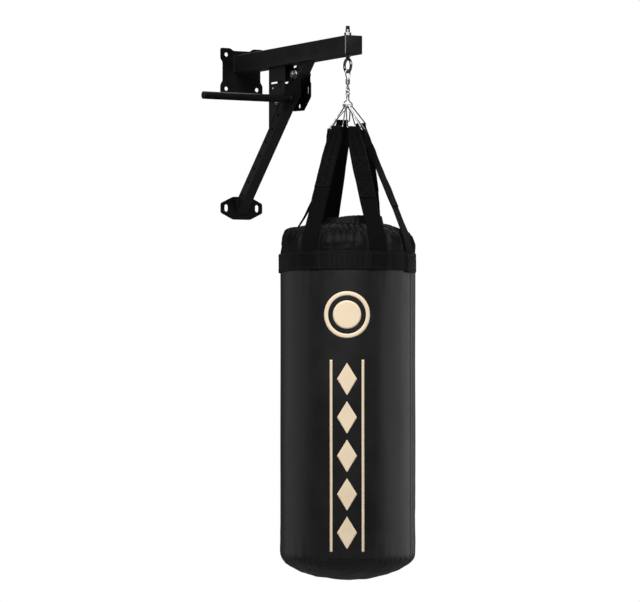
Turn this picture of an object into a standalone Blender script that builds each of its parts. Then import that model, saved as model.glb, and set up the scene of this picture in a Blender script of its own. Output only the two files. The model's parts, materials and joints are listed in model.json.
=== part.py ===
"""Cylindrical heavy bag hung on its wall bracket, as separate named pieces.

Metres, +Z up. The wall is the plane Y = 0 and the arm reaches out along -Y.
The origin is the centre of the upper wall plate's back face. Outlines of the
bracket's side pieces are given as (reach, height), reach being the distance
from the wall, so reach = -Y.
"""
import math

import bmesh
import bpy
from mathutils import Matrix, Vector

FIT_GAP = 0.0003

# Wall plates
PLATE_THICK = 0.005
UPPER_PLATE_HALF = 0.067
UPPER_PLATE_EAR = 0.030
UPPER_PLATE_WAIST = 0.007
UPPER_HOLE_X = 0.049
UPPER_HOLE_Z = 0.0485
PLATE_HOLE_DIA = 0.012
LOWER_PLATE_Z = -0.387
LOWER_PLATE_HALF_X = 0.066
LOWER_PLATE_HALF_Z = 0.0325
LOWER_PLATE_FLAT_X = 0.027
LOWER_PLATE_FLAT_Z = 0.0135
LOWER_SLOT_X = 0.049
LOWER_SLOT_LENGTH = 0.021

# Arm: a square tube welded to the upper plate
ARM_SIDE = 0.050
ARM_WALL = 0.003
ARM_AXIS_Z = 0.0216
ARM_REACH = 0.643
ARM_CAP_THICK = 0.004
ARM_UNDERSIDE = ARM_AXIS_Z - ARM_SIDE / 2

# Strut: a square tube at 45 degrees, named by the heights where its faces meet the wall
STRUT_SIDE = 0.030
STRUT_WALL = 0.0025
STRUT_TOP_LINE = -0.3676
STRUT_LOW_LINE = STRUT_TOP_LINE - STRUT_SIDE * math.sqrt(2)
STRUT_AXIS_LINE = (STRUT_TOP_LINE + STRUT_LOW_LINE) / 2
STRUT_HOLE_DIA = 0.010
STRUT_HOLE_REACHES = [0.037 + 0.0353 * step for step in range(7)]

# Hanger plates between arm and strut, flush with the strut's sides
HANGER_THICK = 0.003
HANGER_REACH = (0.195, 0.286)
HANGER_SLOT_Z = -0.048
HANGER_HOLE_Z = -0.062
HANGER_BOLT = (0.249, -0.1050)

# Gusset plates on the strut's sides, with the pivot bolt through them
GUSSET_THICK = 0.003
GUSSET_INNER_X = STRUT_SIDE / 2 + FIT_GAP
GUSSET_OUTER_X = GUSSET_INNER_X + GUSSET_THICK
PIVOT_REACH = 0.354
PIVOT_HEIGHT = PIVOT_REACH + STRUT_AXIS_LINE
PIVOT_BOLT_RADIUS = 0.006
GUSSET_HOLE = (0.316, -0.118)
GUSSET_HOLE_DIA = 0.012
GUSSET_SLOT = (0.365, -0.0775)

# Side bar
SIDE_BAR_REACH = 0.327
SIDE_BAR_HEIGHT = -0.1005
SIDE_BAR_RADIUS = 0.0105
SIDE_BAR_END_X = -0.288

# Eye bolt near the arm's end
BAG_REACH = 0.612
EYE_BOLT_RADIUS = 0.005
EYE_WIRE_RADIUS = 0.004
EYE_RING_RADIUS = 0.0175
EYE_CENTRE_Z = -0.0310
EYE_BOLT_TOP_Z = 0.0655
EYE_WASHER_THICK = 0.0018
EYE_NUT_THICK = 0.008
EYE_BOTTOM_Z = EYE_CENTRE_Z - EYE_RING_RADIUS

# Swivel and chain. Below the swivel the chain is turned about the vertical.
CHAIN_TURN = math.radians(16)
SWIVEL_WIRE_RADIUS = 0.00175
SWIVEL_EYE_HALF = 0.0065
SWIVEL_EYE_TOP_Z = EYE_BOTTOM_Z + EYE_WIRE_RADIUS + FIT_GAP + SWIVEL_WIRE_RADIUS
BARREL_TOP_Z = -0.0670
BARREL_BOTTOM_Z = -0.0815
BARREL_RADIUS = 0.006
LINK_WIRE_RADIUS = 0.0016
LINK_STEP = 2 * LINK_WIRE_RADIUS + FIT_GAP
LOWER_EYE_RADIUS = 0.0040
LOWER_EYE_Z = -0.0905
LINK_RADIUS = 0.0062
UPPER_LINK_Z = LOWER_EYE_Z - LOWER_EYE_RADIUS + LINK_STEP - LINK_RADIUS
LOWER_LINK_Z = UPPER_LINK_Z - 2 * LINK_RADIUS + LINK_STEP
MASTER_WIRE_RADIUS = 0.0018
MASTER_NECK_HALF = 0.0038
MASTER_TOP_Z = LOWER_LINK_Z - LINK_RADIUS + LINK_WIRE_RADIUS + FIT_GAP + MASTER_WIRE_RADIUS
MASTER_NECK_Z = -0.1245
MASTER_SHOULDER_Z = -0.1320
MASTER_BAR_Z = -0.1395
MASTER_BAR_HALF = 0.0170

# Triangle rings, one for each strap: lane on the master link's bar, azimuth, radius and
# height of the ring's base. Azimuths are degrees from +X towards +Y.
RING_WIRE_RADIUS = 0.00175
RING_BASE_HALF = 0.020
RING_CORNER_RADIUS = 0.0035
RING_LANE_STEP = 0.0043
RING_AZIMUTHS = [-156, -99, -47, 18, 77, 142]
RING_LANES = [-2.5, -0.5, 0.5, 2.5, 1.5, -1.5]
RING_BASE_RADII = [0.050, 0.047, 0.046, 0.051, 0.050, 0.049]
RING_BASE_HEIGHTS = [-0.198, -0.200, -0.206, -0.186, -0.176, -0.202]

# Straps
STRAP_AZIMUTHS = [-155, -93, -53, 37, 80, 150]
STRAP_HALF_WIDTH = 0.025
STRAP_LOOP_HALF = 0.0150
STRAP_SPREAD_DROP = 0.080
STRAP_THICK = 0.0014
STRAP_LOOP_RADIUS = RING_WIRE_RADIUS + 0.0004 + STRAP_THICK / 2
STRAP_OVERLAP = 0.070
STRAP_END_Z = -0.583
STRAP_SHOULDER_Z = -0.486
STRAP_WRAP_DROP = 0.034
STRAP_COLUMNS = 5

# The sixth strap hangs slack: it leaves the collar's top further in and bows towards the axis.
SLACK_STRAP = 5
STRAP_SLACK = 0.018
SLACK_SHOULDER = [(0.1584, -0.4835), (0.1364, -0.4691)]

# Bag
BAG_RADIUS = 0.180
SKIN_THICK = 0.0015
COLLAR_BOTTOM_Z = -0.560
COLLAR_PROFILE = [(0.1800, -0.5600), (0.1785, -0.5400), (0.1750, -0.5200), (0.1690, -0.5010),
                  (0.1570, -0.4850), (0.1300, -0.4670), (0.0960, -0.4500)]
HEM_TOP_Z = -0.4380
BAND_TOP_Z = -0.536
BAND_INNER_RADIUS = BAG_RADIUS + STRAP_THICK + 5 * FIT_GAP
BAND_BOTTOM_Z = -0.583
BOTTOM_PANEL_TOP_Z = -1.335
BOTTOM_PROFILE = [(0.1800, -1.3350), (0.1745, -1.3470), (0.1600, -1.3600), (0.1350, -1.3740),
                  (0.0900, -1.3890), (0.0, -1.4000)]
LID_PROFILE = [(0, -0.4480), (0.050, -0.4490), (0.0935, -0.4530),
               (0.0935, -0.4545), (0.050, -0.4505), (0, -0.4495)]
LINER_INNER_RADIUS = 0.158
LINER_BOTTOM_Z = -1.334
FILLING_RADIUS = LINER_INNER_RADIUS - FIT_GAP
FILLING_PROFILE = [(0, -0.4640), (0.090, -0.4700), (0.130, -0.4800), (0.150, -0.4950),
                   (FILLING_RADIUS, -0.5150), (FILLING_RADIUS, -1.3560), (0.1320, -1.3705),
                   (0.0880, -1.3855), (0, -1.3960)]

ROUND_STEPS = 48
WIRE_ROUNDING = 2


def start_collection(name):
    collection = bpy.data.collections.new(name)
    bpy.context.scene.collection.children.link(collection)
    return collection


def paint(name, colour, roughness, metallic):
    material = bpy.data.materials.new(name)
    material.use_nodes = True
    shader = material.node_tree.nodes["Principled BSDF"]
    shader.inputs["Base Color"].default_value = (*colour, 1.0)
    shader.inputs["Roughness"].default_value = roughness
    shader.inputs["Metallic"].default_value = metallic
    return material


for old_object in list(bpy.data.objects):
    bpy.data.objects.remove(old_object, do_unlink=True)

PARTS = start_collection("hanging_heavy_bag")
CUTTERS = start_collection("cutters")

BLACK_PAINT = paint("black_powder_coat", (0.012, 0.012, 0.013), 0.45, 0.0)
ZINC = paint("zinc_plated_steel", (0.62, 0.62, 0.60), 0.32, 1.0)
DARK_STEEL = paint("dark_plated_steel", (0.06, 0.06, 0.055), 0.35, 1.0)
PLASTIC = paint("black_plastic", (0.015, 0.015, 0.015), 0.5, 0.0)
WEBBING = paint("black_nylon_webbing", (0.010, 0.010, 0.011), 0.85, 0.0)
VINYL = paint("black_vinyl", (0.014, 0.014, 0.015), 0.38, 0.0)
FOAM = paint("grey_foam", (0.35, 0.35, 0.36), 0.9, 0.0)
TEXTILE = paint("shredded_textile", (0.30, 0.27, 0.24), 0.95, 0.0)


# Shapes

def add_object(name, data, material, collection=PARTS):
    new = bpy.data.objects.new(name, data)
    collection.objects.link(new)
    if material:
        data.materials.append(material)
    return new


def add_cutter(name, data):
    cutter = add_object(name, data, None, CUTTERS)
    cutter.hide_render = True
    cutter.display_type = "WIRE"
    return cutter


def smooth(mesh, angle=math.radians(35)):
    mesh.shade_smooth()
    mesh.set_sharp_from_angle(angle=angle)


def arc(centre, radius, start, end, count):
    """Points on an arc from start to end degrees, both ends included."""
    points = []
    for step in range(count + 1):
        angle = math.radians(start + (end - start) * step / count)
        points.append((centre[0] + radius * math.cos(angle), centre[1] + radius * math.sin(angle)))
    return points


def round_corner(before, corner, after, radius, count=3):
    """A quadratic bend that replaces one corner, starting radius away from it."""
    corner = Vector(corner)
    start = corner + (Vector(before) - corner).normalized() * radius
    end = corner + (Vector(after) - corner).normalized() * radius
    bend = []
    for step in range(count + 1):
        t = step / count
        bend.append(start * (1 - t) ** 2 + corner * 2 * t * (1 - t) + end * t ** 2)
    return bend


def rounded_outline(corners, radius):
    """A closed outline with each of its corners rounded."""
    outline = []
    for index, corner in enumerate(corners):
        before = corners[index - 1]
        after = corners[(index + 1) % len(corners)]
        outline += round_corner(before, corner, after, radius)
    return outline


def slot_outline(centre, width, height):
    """An upright or lying slot with round ends."""
    x, y = centre
    radius = min(width, height) / 2
    if height > width:
        run = height / 2 - radius
        return arc((x, y + run), radius, 0, 180, 8) + arc((x, y - run), radius, 180, 360, 8)
    run = width / 2 - radius
    return arc((x + run, y), radius, -90, 90, 8) + arc((x - run, y), radius, 90, 270, 8)


def hole_outline(centre, diameter):
    return arc(centre, diameter / 2, 0, 340, 17)


def outline_mesh(name, outlines, thickness):
    """A flat piece of even thickness: the first outline is its edge, the others are its holes."""
    curve = bpy.data.curves.new(name, "CURVE")
    curve.dimensions = "2D"
    curve.fill_mode = "BOTH"
    curve.extrude = thickness / 2
    for outline in outlines:
        spline = curve.splines.new("POLY")
        spline.points.add(len(outline) - 1)
        for point, place in zip(spline.points, outline):
            point.co = (place[0], place[1], 0.0, 1.0)
        spline.use_cyclic_u = True
    holder = bpy.data.objects.new(name, curve)
    bpy.context.scene.collection.objects.link(holder)
    mesh = mesh_of(holder)
    bpy.data.objects.remove(holder, do_unlink=True)
    return mesh


def mesh_of(shape):
    """The evaluated mesh of a curve or a modified object, with its loose caps welded."""
    graph = bpy.context.evaluated_depsgraph_get()
    mesh = bpy.data.meshes.new_from_object(shape.evaluated_get(graph))
    work = bmesh.new()
    work.from_mesh(mesh)
    bmesh.ops.remove_doubles(work, verts=work.verts, dist=0.00001)
    work.to_mesh(mesh)
    work.free()
    return mesh


# Outlines drawn as (x, z) face the room, and outlines drawn as (reach, z) face sideways.
FACING_ROOM = Matrix(((1, 0, 0, 0), (0, 0, -1, 0), (0, 1, 0, 0), (0, 0, 0, 1)))
FACING_SIDE = Matrix(((0, 0, -1, 0), (-1, 0, 0, 0), (0, 1, 0, 0), (0, 0, 0, 1)))


def room_plate(name, outlines, thickness, centre_y, material):
    plate = add_object(name, outline_mesh(name, outlines, thickness), material)
    plate.matrix_world = Matrix.Translation((0, centre_y, 0)) @ FACING_ROOM
    return plate


def side_plate(name, outlines, thickness, centre_x, material):
    plate = add_object(name, outline_mesh(name, outlines, thickness), material)
    plate.matrix_world = Matrix.Translation((centre_x, 0, 0)) @ FACING_SIDE
    return plate


def box_mesh(name, low, high):
    low, high = Vector(low), Vector(high)
    work = bmesh.new()
    bmesh.ops.create_cube(work, size=1.0)
    bmesh.ops.scale(work, vec=high - low, verts=work.verts)
    bmesh.ops.translate(work, vec=(low + high) / 2, verts=work.verts)
    mesh = bpy.data.meshes.new(name)
    work.to_mesh(mesh)
    work.free()
    return mesh


def bars_mesh(name, runs, radius, sides=24):
    """Round bars with flat ends, one for each (start, end) run."""
    work = bmesh.new()
    for start, end in runs:
        start, end = Vector(start), Vector(end)
        turn = Vector((0, 0, 1)).rotation_difference(end - start).to_matrix().to_4x4()
        place = Matrix.Translation((start + end) / 2) @ turn
        bmesh.ops.create_cone(work, cap_ends=True, segments=sides, radius1=radius,
                              radius2=radius, depth=(end - start).length, matrix=place)
    mesh = bpy.data.meshes.new(name)
    work.to_mesh(mesh)
    work.free()
    return mesh


def bar(name, start, end, radius, material, sides=24):
    new = add_object(name, bars_mesh(name, [(start, end)], radius, sides), material)
    smooth(new.data)
    return new


def combine(target, tool_mesh, operation):
    """Cut a tool out of the target or join the tool to it."""
    tool = add_cutter(target.name + "_" + operation.lower() + str(len(target.modifiers)), tool_mesh)
    change = target.modifiers.new(operation.title(), "BOOLEAN")
    change.operation = operation
    change.object = tool
    return target


def cut(target, tool_mesh):
    return combine(target, tool_mesh, "DIFFERENCE")


def join(target, tool_mesh):
    return combine(target, tool_mesh, "UNION")


def wire(name, points, radius, material, closed=True):
    curve = bpy.data.curves.new(name, "CURVE")
    curve.dimensions = "3D"
    curve.bevel_depth = radius
    curve.bevel_resolution = WIRE_ROUNDING
    curve.render_resolution_u = 0
    curve.use_fill_caps = not closed
    spline = curve.splines.new("POLY")
    spline.points.add(len(points) - 1)
    for point, place in zip(spline.points, points):
        point.co = (*place, 1.0)
    spline.use_cyclic_u = closed
    spline.use_smooth = True
    return add_object(name, curve, material)


def turned(name, profile, material, axis_reach=BAG_REACH, closed=True, steps=ROUND_STEPS):
    """A piece turned about a vertical axis. The profile runs down its outer side."""
    mesh = bpy.data.meshes.new(name)
    work = bmesh.new()
    corners = [work.verts.new((radius, 0.0, height)) for radius, height in profile]
    for first, second in zip(corners, corners[1:]):
        work.edges.new((first, second))
    if closed:
        work.edges.new((corners[-1], corners[0]))
    work.to_mesh(mesh)
    work.free()
    new = add_object(name, mesh, material)
    new.location = (0, -axis_reach, 0)
    screw = new.modifiers.new("Turn", "SCREW")
    screw.steps = steps
    screw.render_steps = steps
    screw.use_merge_vertices = True
    screw.merge_threshold = 0.00001
    screw.use_smooth_shade = True
    return new


def sleeve(name, outer, inner, top, bottom, material, **placing):
    """A washer or a short tube about a vertical axis."""
    profile = [(outer, top), (outer, bottom), (inner, bottom), (inner, top)]
    return turned(name, profile, material, **placing)


def chain_frame(z):
    """A frame on the bag's axis at height z, its X along the master link's bar."""
    return Matrix.Translation((0, -BAG_REACH, z)) @ Matrix.Rotation(CHAIN_TURN, 4, "Z")


def circle_points(frame, radius, along, count=18):
    """Points on an upright circle in a frame, its plane holding the frame's X or Y axis."""
    points = []
    for step in range(count):
        angle = 2 * math.pi * step / count
        spot = Vector((0, 0, radius * math.sin(angle)))
        spot["XY".index(along)] = radius * math.cos(angle)
        points.append(frame @ spot)
    return points


# Bracket

def upper_plate_outline():
    """A square plate with an ear at each corner and a waist between the ears."""
    half = UPPER_PLATE_HALF
    ear = half - UPPER_PLATE_EAR
    waist = half - UPPER_PLATE_WAIST
    quarter = [(half, ear), (half, half), (ear, half), (ear - 0.010, waist)]
    corners = []
    for turn in range(4):
        angle = math.radians(90 * turn)
        for x, z in quarter + [(-ear + 0.010, waist)]:
            corners.append((x * math.cos(angle) - z * math.sin(angle),
                            x * math.sin(angle) + z * math.cos(angle)))
    return rounded_outline(corners, 0.0045)


def make_wall_plates():
    holes = [hole_outline((x, z), PLATE_HOLE_DIA)
             for x in (-UPPER_HOLE_X, UPPER_HOLE_X) for z in (-UPPER_HOLE_Z, UPPER_HOLE_Z)]
    room_plate("upper_wall_plate", [upper_plate_outline()] + holes,
               PLATE_THICK, -PLATE_THICK / 2, BLACK_PAINT)
    quarter = [(LOWER_PLATE_HALF_X, LOWER_PLATE_FLAT_Z), (LOWER_PLATE_FLAT_X, LOWER_PLATE_HALF_Z)]
    half = quarter + [(-x, z) for x, z in reversed(quarter)]
    corners = [(x, LOWER_PLATE_Z + z) for x, z in half + [(-x, -z) for x, z in half]]
    slots = [slot_outline((x, LOWER_PLATE_Z), PLATE_HOLE_DIA, LOWER_SLOT_LENGTH)
             for x in (-LOWER_SLOT_X, LOWER_SLOT_X)]
    room_plate("lower_wall_plate", [rounded_outline(corners, 0.004)] + slots,
               PLATE_THICK, -PLATE_THICK / 2, BLACK_PAINT)


def make_arm():
    half, inner = ARM_SIDE / 2, ARM_SIDE / 2 - ARM_WALL
    back = -PLATE_THICK - FIT_GAP
    arm = add_object("arm_tube", box_mesh("arm_tube", (-half, -ARM_REACH, ARM_AXIS_Z - half),
                                          (half, back, ARM_AXIS_Z + half)), BLACK_PAINT)
    rounding = arm.modifiers.new("Edges", "BEVEL")
    rounding.width = 0.0025
    rounding.segments = 2
    cut(arm, box_mesh("arm_bore", (-inner, -ARM_REACH - 0.01, ARM_AXIS_Z - inner),
                      (inner, back + 0.01, ARM_AXIS_Z + inner)))
    cut(arm, bars_mesh("arm_bolt_hole", [((0, -BAG_REACH, -0.05), (0, -BAG_REACH, 0.09))],
                       EYE_BOLT_RADIUS + 0.0005))
    front = -ARM_REACH - FIT_GAP
    cap = add_object("arm_end_cap", box_mesh("arm_end_cap", (-half, front - ARM_CAP_THICK, ARM_AXIS_Z - half),
                                             (half, front, ARM_AXIS_Z + half)), PLASTIC)
    rounding = cap.modifiers.new("Edges", "BEVEL")
    rounding.width = 0.0018
    rounding.segments = 2
    plug = inner - FIT_GAP
    join(cap, box_mesh("cap_plug", (-plug, front - 0.002, ARM_AXIS_Z - plug),
                       (plug, front + 0.012, ARM_AXIS_Z + plug)))


def strut_outline(top_line, low_line, start, end_height):
    """The strut's side view between two 45 degree lines, cut upright at the wall and level above."""
    return [(start, start + low_line), (end_height - low_line, end_height),
            (end_height - top_line, end_height), (start, start + top_line)]


def make_strut():
    start = PLATE_THICK + FIT_GAP
    strut = side_plate("strut_tube", [strut_outline(STRUT_TOP_LINE, STRUT_LOW_LINE, start,
                                                    ARM_UNDERSIDE - FIT_GAP)],
                       STRUT_SIDE, 0, BLACK_PAINT)
    rise = STRUT_WALL * math.sqrt(2)
    bore = outline_mesh("strut_bore", [strut_outline(STRUT_TOP_LINE - rise, STRUT_LOW_LINE + rise,
                                                     start - 0.02, ARM_UNDERSIDE + 0.02)],
                        STRUT_SIDE - 2 * STRUT_WALL)
    bore.transform(FACING_SIDE)
    strut.data.transform(strut.matrix_world)
    strut.matrix_world = Matrix.Identity(4)
    cut(strut, bore)
    runs = [((-0.05, -reach, reach + STRUT_AXIS_LINE), (0.05, -reach, reach + STRUT_AXIS_LINE))
            for reach in STRUT_HOLE_REACHES]
    cut(strut, bars_mesh("strut_holes", runs, STRUT_HOLE_DIA / 2, 12))
    pivot = [((-0.05, -PIVOT_REACH, PIVOT_HEIGHT), (0.05, -PIVOT_REACH, PIVOT_HEIGHT))]
    cut(strut, bars_mesh("strut_pivot_hole", pivot, PIVOT_BOLT_RADIUS + FIT_GAP))


def make_hanger_plates():
    back, front = HANGER_REACH
    top = ARM_UNDERSIDE - FIT_GAP
    low = STRUT_TOP_LINE - FIT_GAP * math.sqrt(2) + 0.001
    outline = [(back, back + low), (front, front + low), (front, top), (back, top)]
    middle = (back + front) / 2
    holes = [slot_outline((middle, HANGER_SLOT_Z), 0.072, 0.005),
             hole_outline((0.216, HANGER_HOLE_Z), 0.008), hole_outline((0.2606, HANGER_HOLE_Z), 0.008),
             hole_outline(HANGER_BOLT, 0.0086)]
    centre = STRUT_SIDE / 2 - HANGER_THICK / 2
    for side, sign in (("left", -1), ("right", 1)):
        side_plate("hanger_plate_" + side, [outline] + holes, HANGER_THICK, sign * centre, BLACK_PAINT)
    reach, height = HANGER_BOLT
    face = STRUT_SIDE / 2 + FIT_GAP
    shank = bar("hanger_bolt", (-face - 0.009, -reach, height), (face, -reach, height), 0.004, ZINC, 16)
    head_run = [((face, -reach, height), (face + 0.005, -reach, height))]
    join(shank, bars_mesh("hanger_head", head_run, 0.0075, 6))
    nut = bar("hanger_nut", (-face - 0.0065, -reach, height), (-face, -reach, height), 0.0075, ZINC, 6)
    cut(nut, bars_mesh("nut_bore", [((-0.05, -reach, height), (0.0, -reach, height))], 0.0044, 16))


def gusset_outline():
    """Broad at the front, rounded about the pivot bolt, and its back edge follows the strut."""
    edge = STRUT_TOP_LINE - 0.002
    crown = arc((PIVOT_REACH, PIVOT_HEIGHT), 0.019, 10, 128, 10)
    base = rounded_outline([(0.280, 0.280 + edge), (0.280, -0.130), (0.340, -0.132), (0.379, -0.097),
                            (0.379, -0.056)], 0.004)
    return base[2:] + crown


def make_gussets():
    holes = [hole_outline((PIVOT_REACH, PIVOT_HEIGHT), 2 * (PIVOT_BOLT_RADIUS + FIT_GAP)),
             hole_outline(GUSSET_HOLE, GUSSET_HOLE_DIA), slot_outline(GUSSET_SLOT, 0.006, 0.022)]
    centre = (GUSSET_INNER_X + GUSSET_OUTER_X) / 2
    for side, sign in (("left", -1), ("right", 1)):
        side_plate("gusset_plate_" + side, [gusset_outline()] + holes, GUSSET_THICK,
                   sign * centre, BLACK_PAINT)
    y, z = -PIVOT_REACH, PIVOT_HEIGHT
    face = GUSSET_OUTER_X + FIT_GAP
    bolt = bar("pivot_bolt", (-face - 0.013, y, z), (face, y, z), PIVOT_BOLT_RADIUS, ZINC)
    join(bolt, bars_mesh("pivot_head", [((face, y, z), (face + 0.0075, y, z))], 0.0105, 6))
    for name, start, end, radius, sides in (("pivot_washer", 0.0, 0.0016, 0.012, 24),
                                            ("pivot_nut", 0.0019, 0.0110, 0.0105, 6)):
        piece = bar(name, (-face - end, y, z), (-face - start, y, z), radius, ZINC, sides)
        cut(piece, bars_mesh(name + "_bore", [((-0.06, y, z), (0, y, z))], PIVOT_BOLT_RADIUS + FIT_GAP))


def make_side_bar():
    y, z = -SIDE_BAR_REACH, SIDE_BAR_HEIGHT
    face = -GUSSET_OUTER_X - FIT_GAP
    bar("side_bar_flange", (face - 0.004, y, z), (face, y, z), 0.015, BLACK_PAINT)
    plug_x = SIDE_BAR_END_X + 0.004
    bar("side_bar", (plug_x + FIT_GAP, y, z), (face - 0.004 - FIT_GAP, y, z), SIDE_BAR_RADIUS, BLACK_PAINT)
    bar("side_bar_plug", (SIDE_BAR_END_X, y, z), (plug_x, y, z), SIDE_BAR_RADIUS, PLASTIC)


def make_eye_bolt():
    bolt = bar("eye_bolt", (0, -BAG_REACH, EYE_CENTRE_Z + EYE_RING_RADIUS),
               (0, -BAG_REACH, EYE_BOLT_TOP_Z), EYE_BOLT_RADIUS, DARK_STEEL)
    bpy.ops.mesh.primitive_torus_add(major_radius=EYE_RING_RADIUS, minor_radius=EYE_WIRE_RADIUS,
                                     major_segments=28, minor_segments=8,
                                     location=(0, -BAG_REACH, EYE_CENTRE_Z),
                                     rotation=(0, math.pi / 2, 0))
    ring = bpy.context.active_object
    ring_mesh = ring.data.copy()
    ring_mesh.transform(ring.matrix_world)
    bpy.data.objects.remove(ring, do_unlink=True)
    join(bolt, ring_mesh)
    bore = EYE_BOLT_RADIUS + FIT_GAP
    under = ARM_UNDERSIDE - FIT_GAP
    over = ARM_UNDERSIDE + ARM_SIDE + FIT_GAP
    sleeve("eye_collar", 0.008, bore, under, under - 0.0052, ZINC, steps=24)
    sleeve("eye_washer", 0.011, bore, over + EYE_WASHER_THICK, over, ZINC, steps=24)
    nut_low = over + EYE_WASHER_THICK + FIT_GAP
    nut_top = nut_low + EYE_NUT_THICK
    nut = bar("eye_nut", (0, -BAG_REACH, nut_low), (0, -BAG_REACH, nut_top), 0.0098, ZINC, 6)
    cut(nut, bars_mesh("eye_nut_bore", [((0, -BAG_REACH, 0.03), (0, -BAG_REACH, 0.08))], bore))
    sleeve("thread_stem", 0.0062, bore, EYE_BOLT_TOP_Z, nut_top + FIT_GAP, ZINC, steps=24)
    cap_low = EYE_BOLT_TOP_Z + FIT_GAP
    turned("thread_cap", [(0, 0.0755), (0.0040, 0.0750), (0.0055, 0.0735), (0.0055, cap_low),
                          (0, cap_low)], PLASTIC, closed=False, steps=24)


# Swivel, chain and master link

def make_swivel():
    half, top = SWIVEL_EYE_HALF, SWIVEL_EYE_TOP_Z
    bend = arc((0, top - half), half, 0, 180, 14)
    foot = BARREL_TOP_Z + FIT_GAP
    path = [(0.0032, foot), (0.0034, foot + 0.003), (half, top - 0.0135)] + bend
    path += [(-half, top - 0.0135), (-0.0034, foot + 0.003), (-0.0032, foot)]
    wire("swivel_upper_eye", [(x, -BAG_REACH, z) for x, z in path], SWIVEL_WIRE_RADIUS, ZINC, closed=False)
    low = BARREL_BOTTOM_Z
    profile = [(0, BARREL_TOP_Z), (0.0050, BARREL_TOP_Z), (BARREL_RADIUS, BARREL_TOP_Z - 0.001),
               (BARREL_RADIUS, low + 0.001), (0.0050, low), (0.0029, low), (0.0029, low + 0.003),
               (0.0046, low + 0.003), (0.0046, BARREL_TOP_Z - 0.003), (0, BARREL_TOP_Z - 0.003)]
    turned("swivel_barrel", profile, ZINC, closed=False, steps=24)
    ring_top = LOWER_EYE_Z + LOWER_EYE_RADIUS
    pin = turned("swivel_lower_eye", [(0, low + 0.0075), (0.0042, low + 0.0075), (0.0042, low + 0.0033),
                                      (0.0025, low + 0.0033), (0.0025, ring_top), (0, ring_top)],
                 ZINC, closed=False, steps=20)
    ring = wire("lower_eye_ring", circle_points(chain_frame(LOWER_EYE_Z), LOWER_EYE_RADIUS, "Y"),
                LINK_WIRE_RADIUS, None)
    ring_mesh = mesh_of(ring)
    bpy.data.objects.remove(ring, do_unlink=True)
    join(pin, ring_mesh)


def make_chain():
    wire("chain_link_upper", circle_points(chain_frame(UPPER_LINK_Z), LINK_RADIUS, "X"),
         LINK_WIRE_RADIUS, ZINC)
    wire("chain_link_lower", circle_points(chain_frame(LOWER_LINK_Z), LINK_RADIUS, "Y"),
         LINK_WIRE_RADIUS, ZINC)
    neck, bar_half = MASTER_NECK_HALF, MASTER_BAR_HALF
    crown = arc((0, MASTER_TOP_Z - neck), neck, 0, 180, 10)
    middle, corner = (0, 0, MASTER_BAR_Z), (bar_half, 0, MASTER_BAR_Z)
    shoulder, throat = (bar_half, 0, MASTER_SHOULDER_Z), (neck, 0, MASTER_NECK_Z)
    right = round_corner(middle, corner, shoulder, 0.0030)
    right += round_corner(corner, shoulder, throat, 0.0035)
    right += round_corner(shoulder, throat, (neck, 0, MASTER_TOP_Z), 0.0040)
    left = [Vector((-point.x, 0, point.z)) for point in reversed(right)]
    path = right + [Vector((x, 0, z)) for x, z in crown] + left
    frame = chain_frame(0)
    wire("master_link", [frame @ point for point in path], MASTER_WIRE_RADIUS, ZINC)


# Triangle rings and straps

def triangle_ring_points(index):
    """Over the master link's bar, down both legs and along the base, which holds the strap."""
    lane = RING_LANES[index] * RING_LANE_STEP
    azimuth = math.radians(RING_AZIMUTHS[index]) - CHAIN_TURN
    out = Vector((math.cos(azimuth), math.sin(azimuth)))
    side = Vector((-out.y, out.x))
    wrap = MASTER_WIRE_RADIUS + RING_WIRE_RADIUS + FIT_GAP
    drop = RING_BASE_HEIGHTS[index] - MASTER_BAR_Z
    ends = [out * RING_BASE_RADII[index] + side * half for half in (-RING_BASE_HALF, RING_BASE_HALF)]
    ends.sort(key=lambda end: end.y)
    angles = []
    for end, sign in ((ends[1], 1), (ends[0], -1)):
        distance = math.hypot(end.y, drop)
        angles.append(math.atan2(drop, end.y) + sign * math.acos(wrap / distance))
    first, last = angles
    while last < first:
        last += 2 * math.pi
    crown = arc((0, 0), wrap, math.degrees(first), math.degrees(last), 10)
    crown = [Vector((lane, y, z)) for y, z in crown]
    near = Vector((ends[0].x, ends[0].y, drop))
    far = Vector((ends[1].x, ends[1].y, drop))
    path = crown + round_corner(crown[-1], near, far, RING_CORNER_RADIUS)
    path += round_corner(near, far, crown[0], RING_CORNER_RADIUS)
    frame = chain_frame(MASTER_BAR_Z)
    return [frame @ point for point in path]


def strap_path(index):
    """The strap's middle line as (radius, height): up the bag's side, round the ring, doubled back."""
    lift = STRAP_THICK / 2 + 2 * FIT_GAP
    side = BAG_RADIUS + lift
    path = [(side, STRAP_END_Z), (side, -0.5600), (0.1785 + lift, -0.5400), (0.1750 + lift, -0.5200),
            (0.1700 + lift, -0.5000), (0.1660 + lift, STRAP_SHOULDER_Z)]
    if index == SLACK_STRAP:
        path[-1:] = SLACK_SHOULDER
    shoulder = Vector(path[-1])
    ring = Vector((RING_BASE_RADII[index], RING_BASE_HEIGHTS[index]))
    down = (shoulder - ring).normalized()
    outward = Vector((-down.y, down.x))
    outer_top = ring + outward * STRAP_LOOP_RADIUS
    run = shoulder - outer_top
    if index == SLACK_STRAP:
        shares = [0.85, 0.70, 0.55, 0.40]
        shares += [distance / run.length for distance in (STRAP_OVERLAP, 0.042, 0.014)]
        bow = STRAP_SLACK
    else:
        shares = [0.66, 0.33]
        bow = 0
    for share in shares:
        path.append(tuple(outer_top + run * share - outward * (4 * bow * share * (1 - share))))
    for step in range(9):
        angle = math.pi * step / 8
        spot = ring + (outward * math.cos(angle) - down * math.sin(angle)) * STRAP_LOOP_RADIUS
        path.append(tuple(spot))
    spacing = STRAP_THICK + 2 * FIT_GAP
    for distance in (0.014, 0.042, STRAP_OVERLAP):
        share = distance / run.length
        path.append(tuple(outer_top + run * share - outward * (spacing + 4 * bow * share * (1 - share))))
    return path


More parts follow.
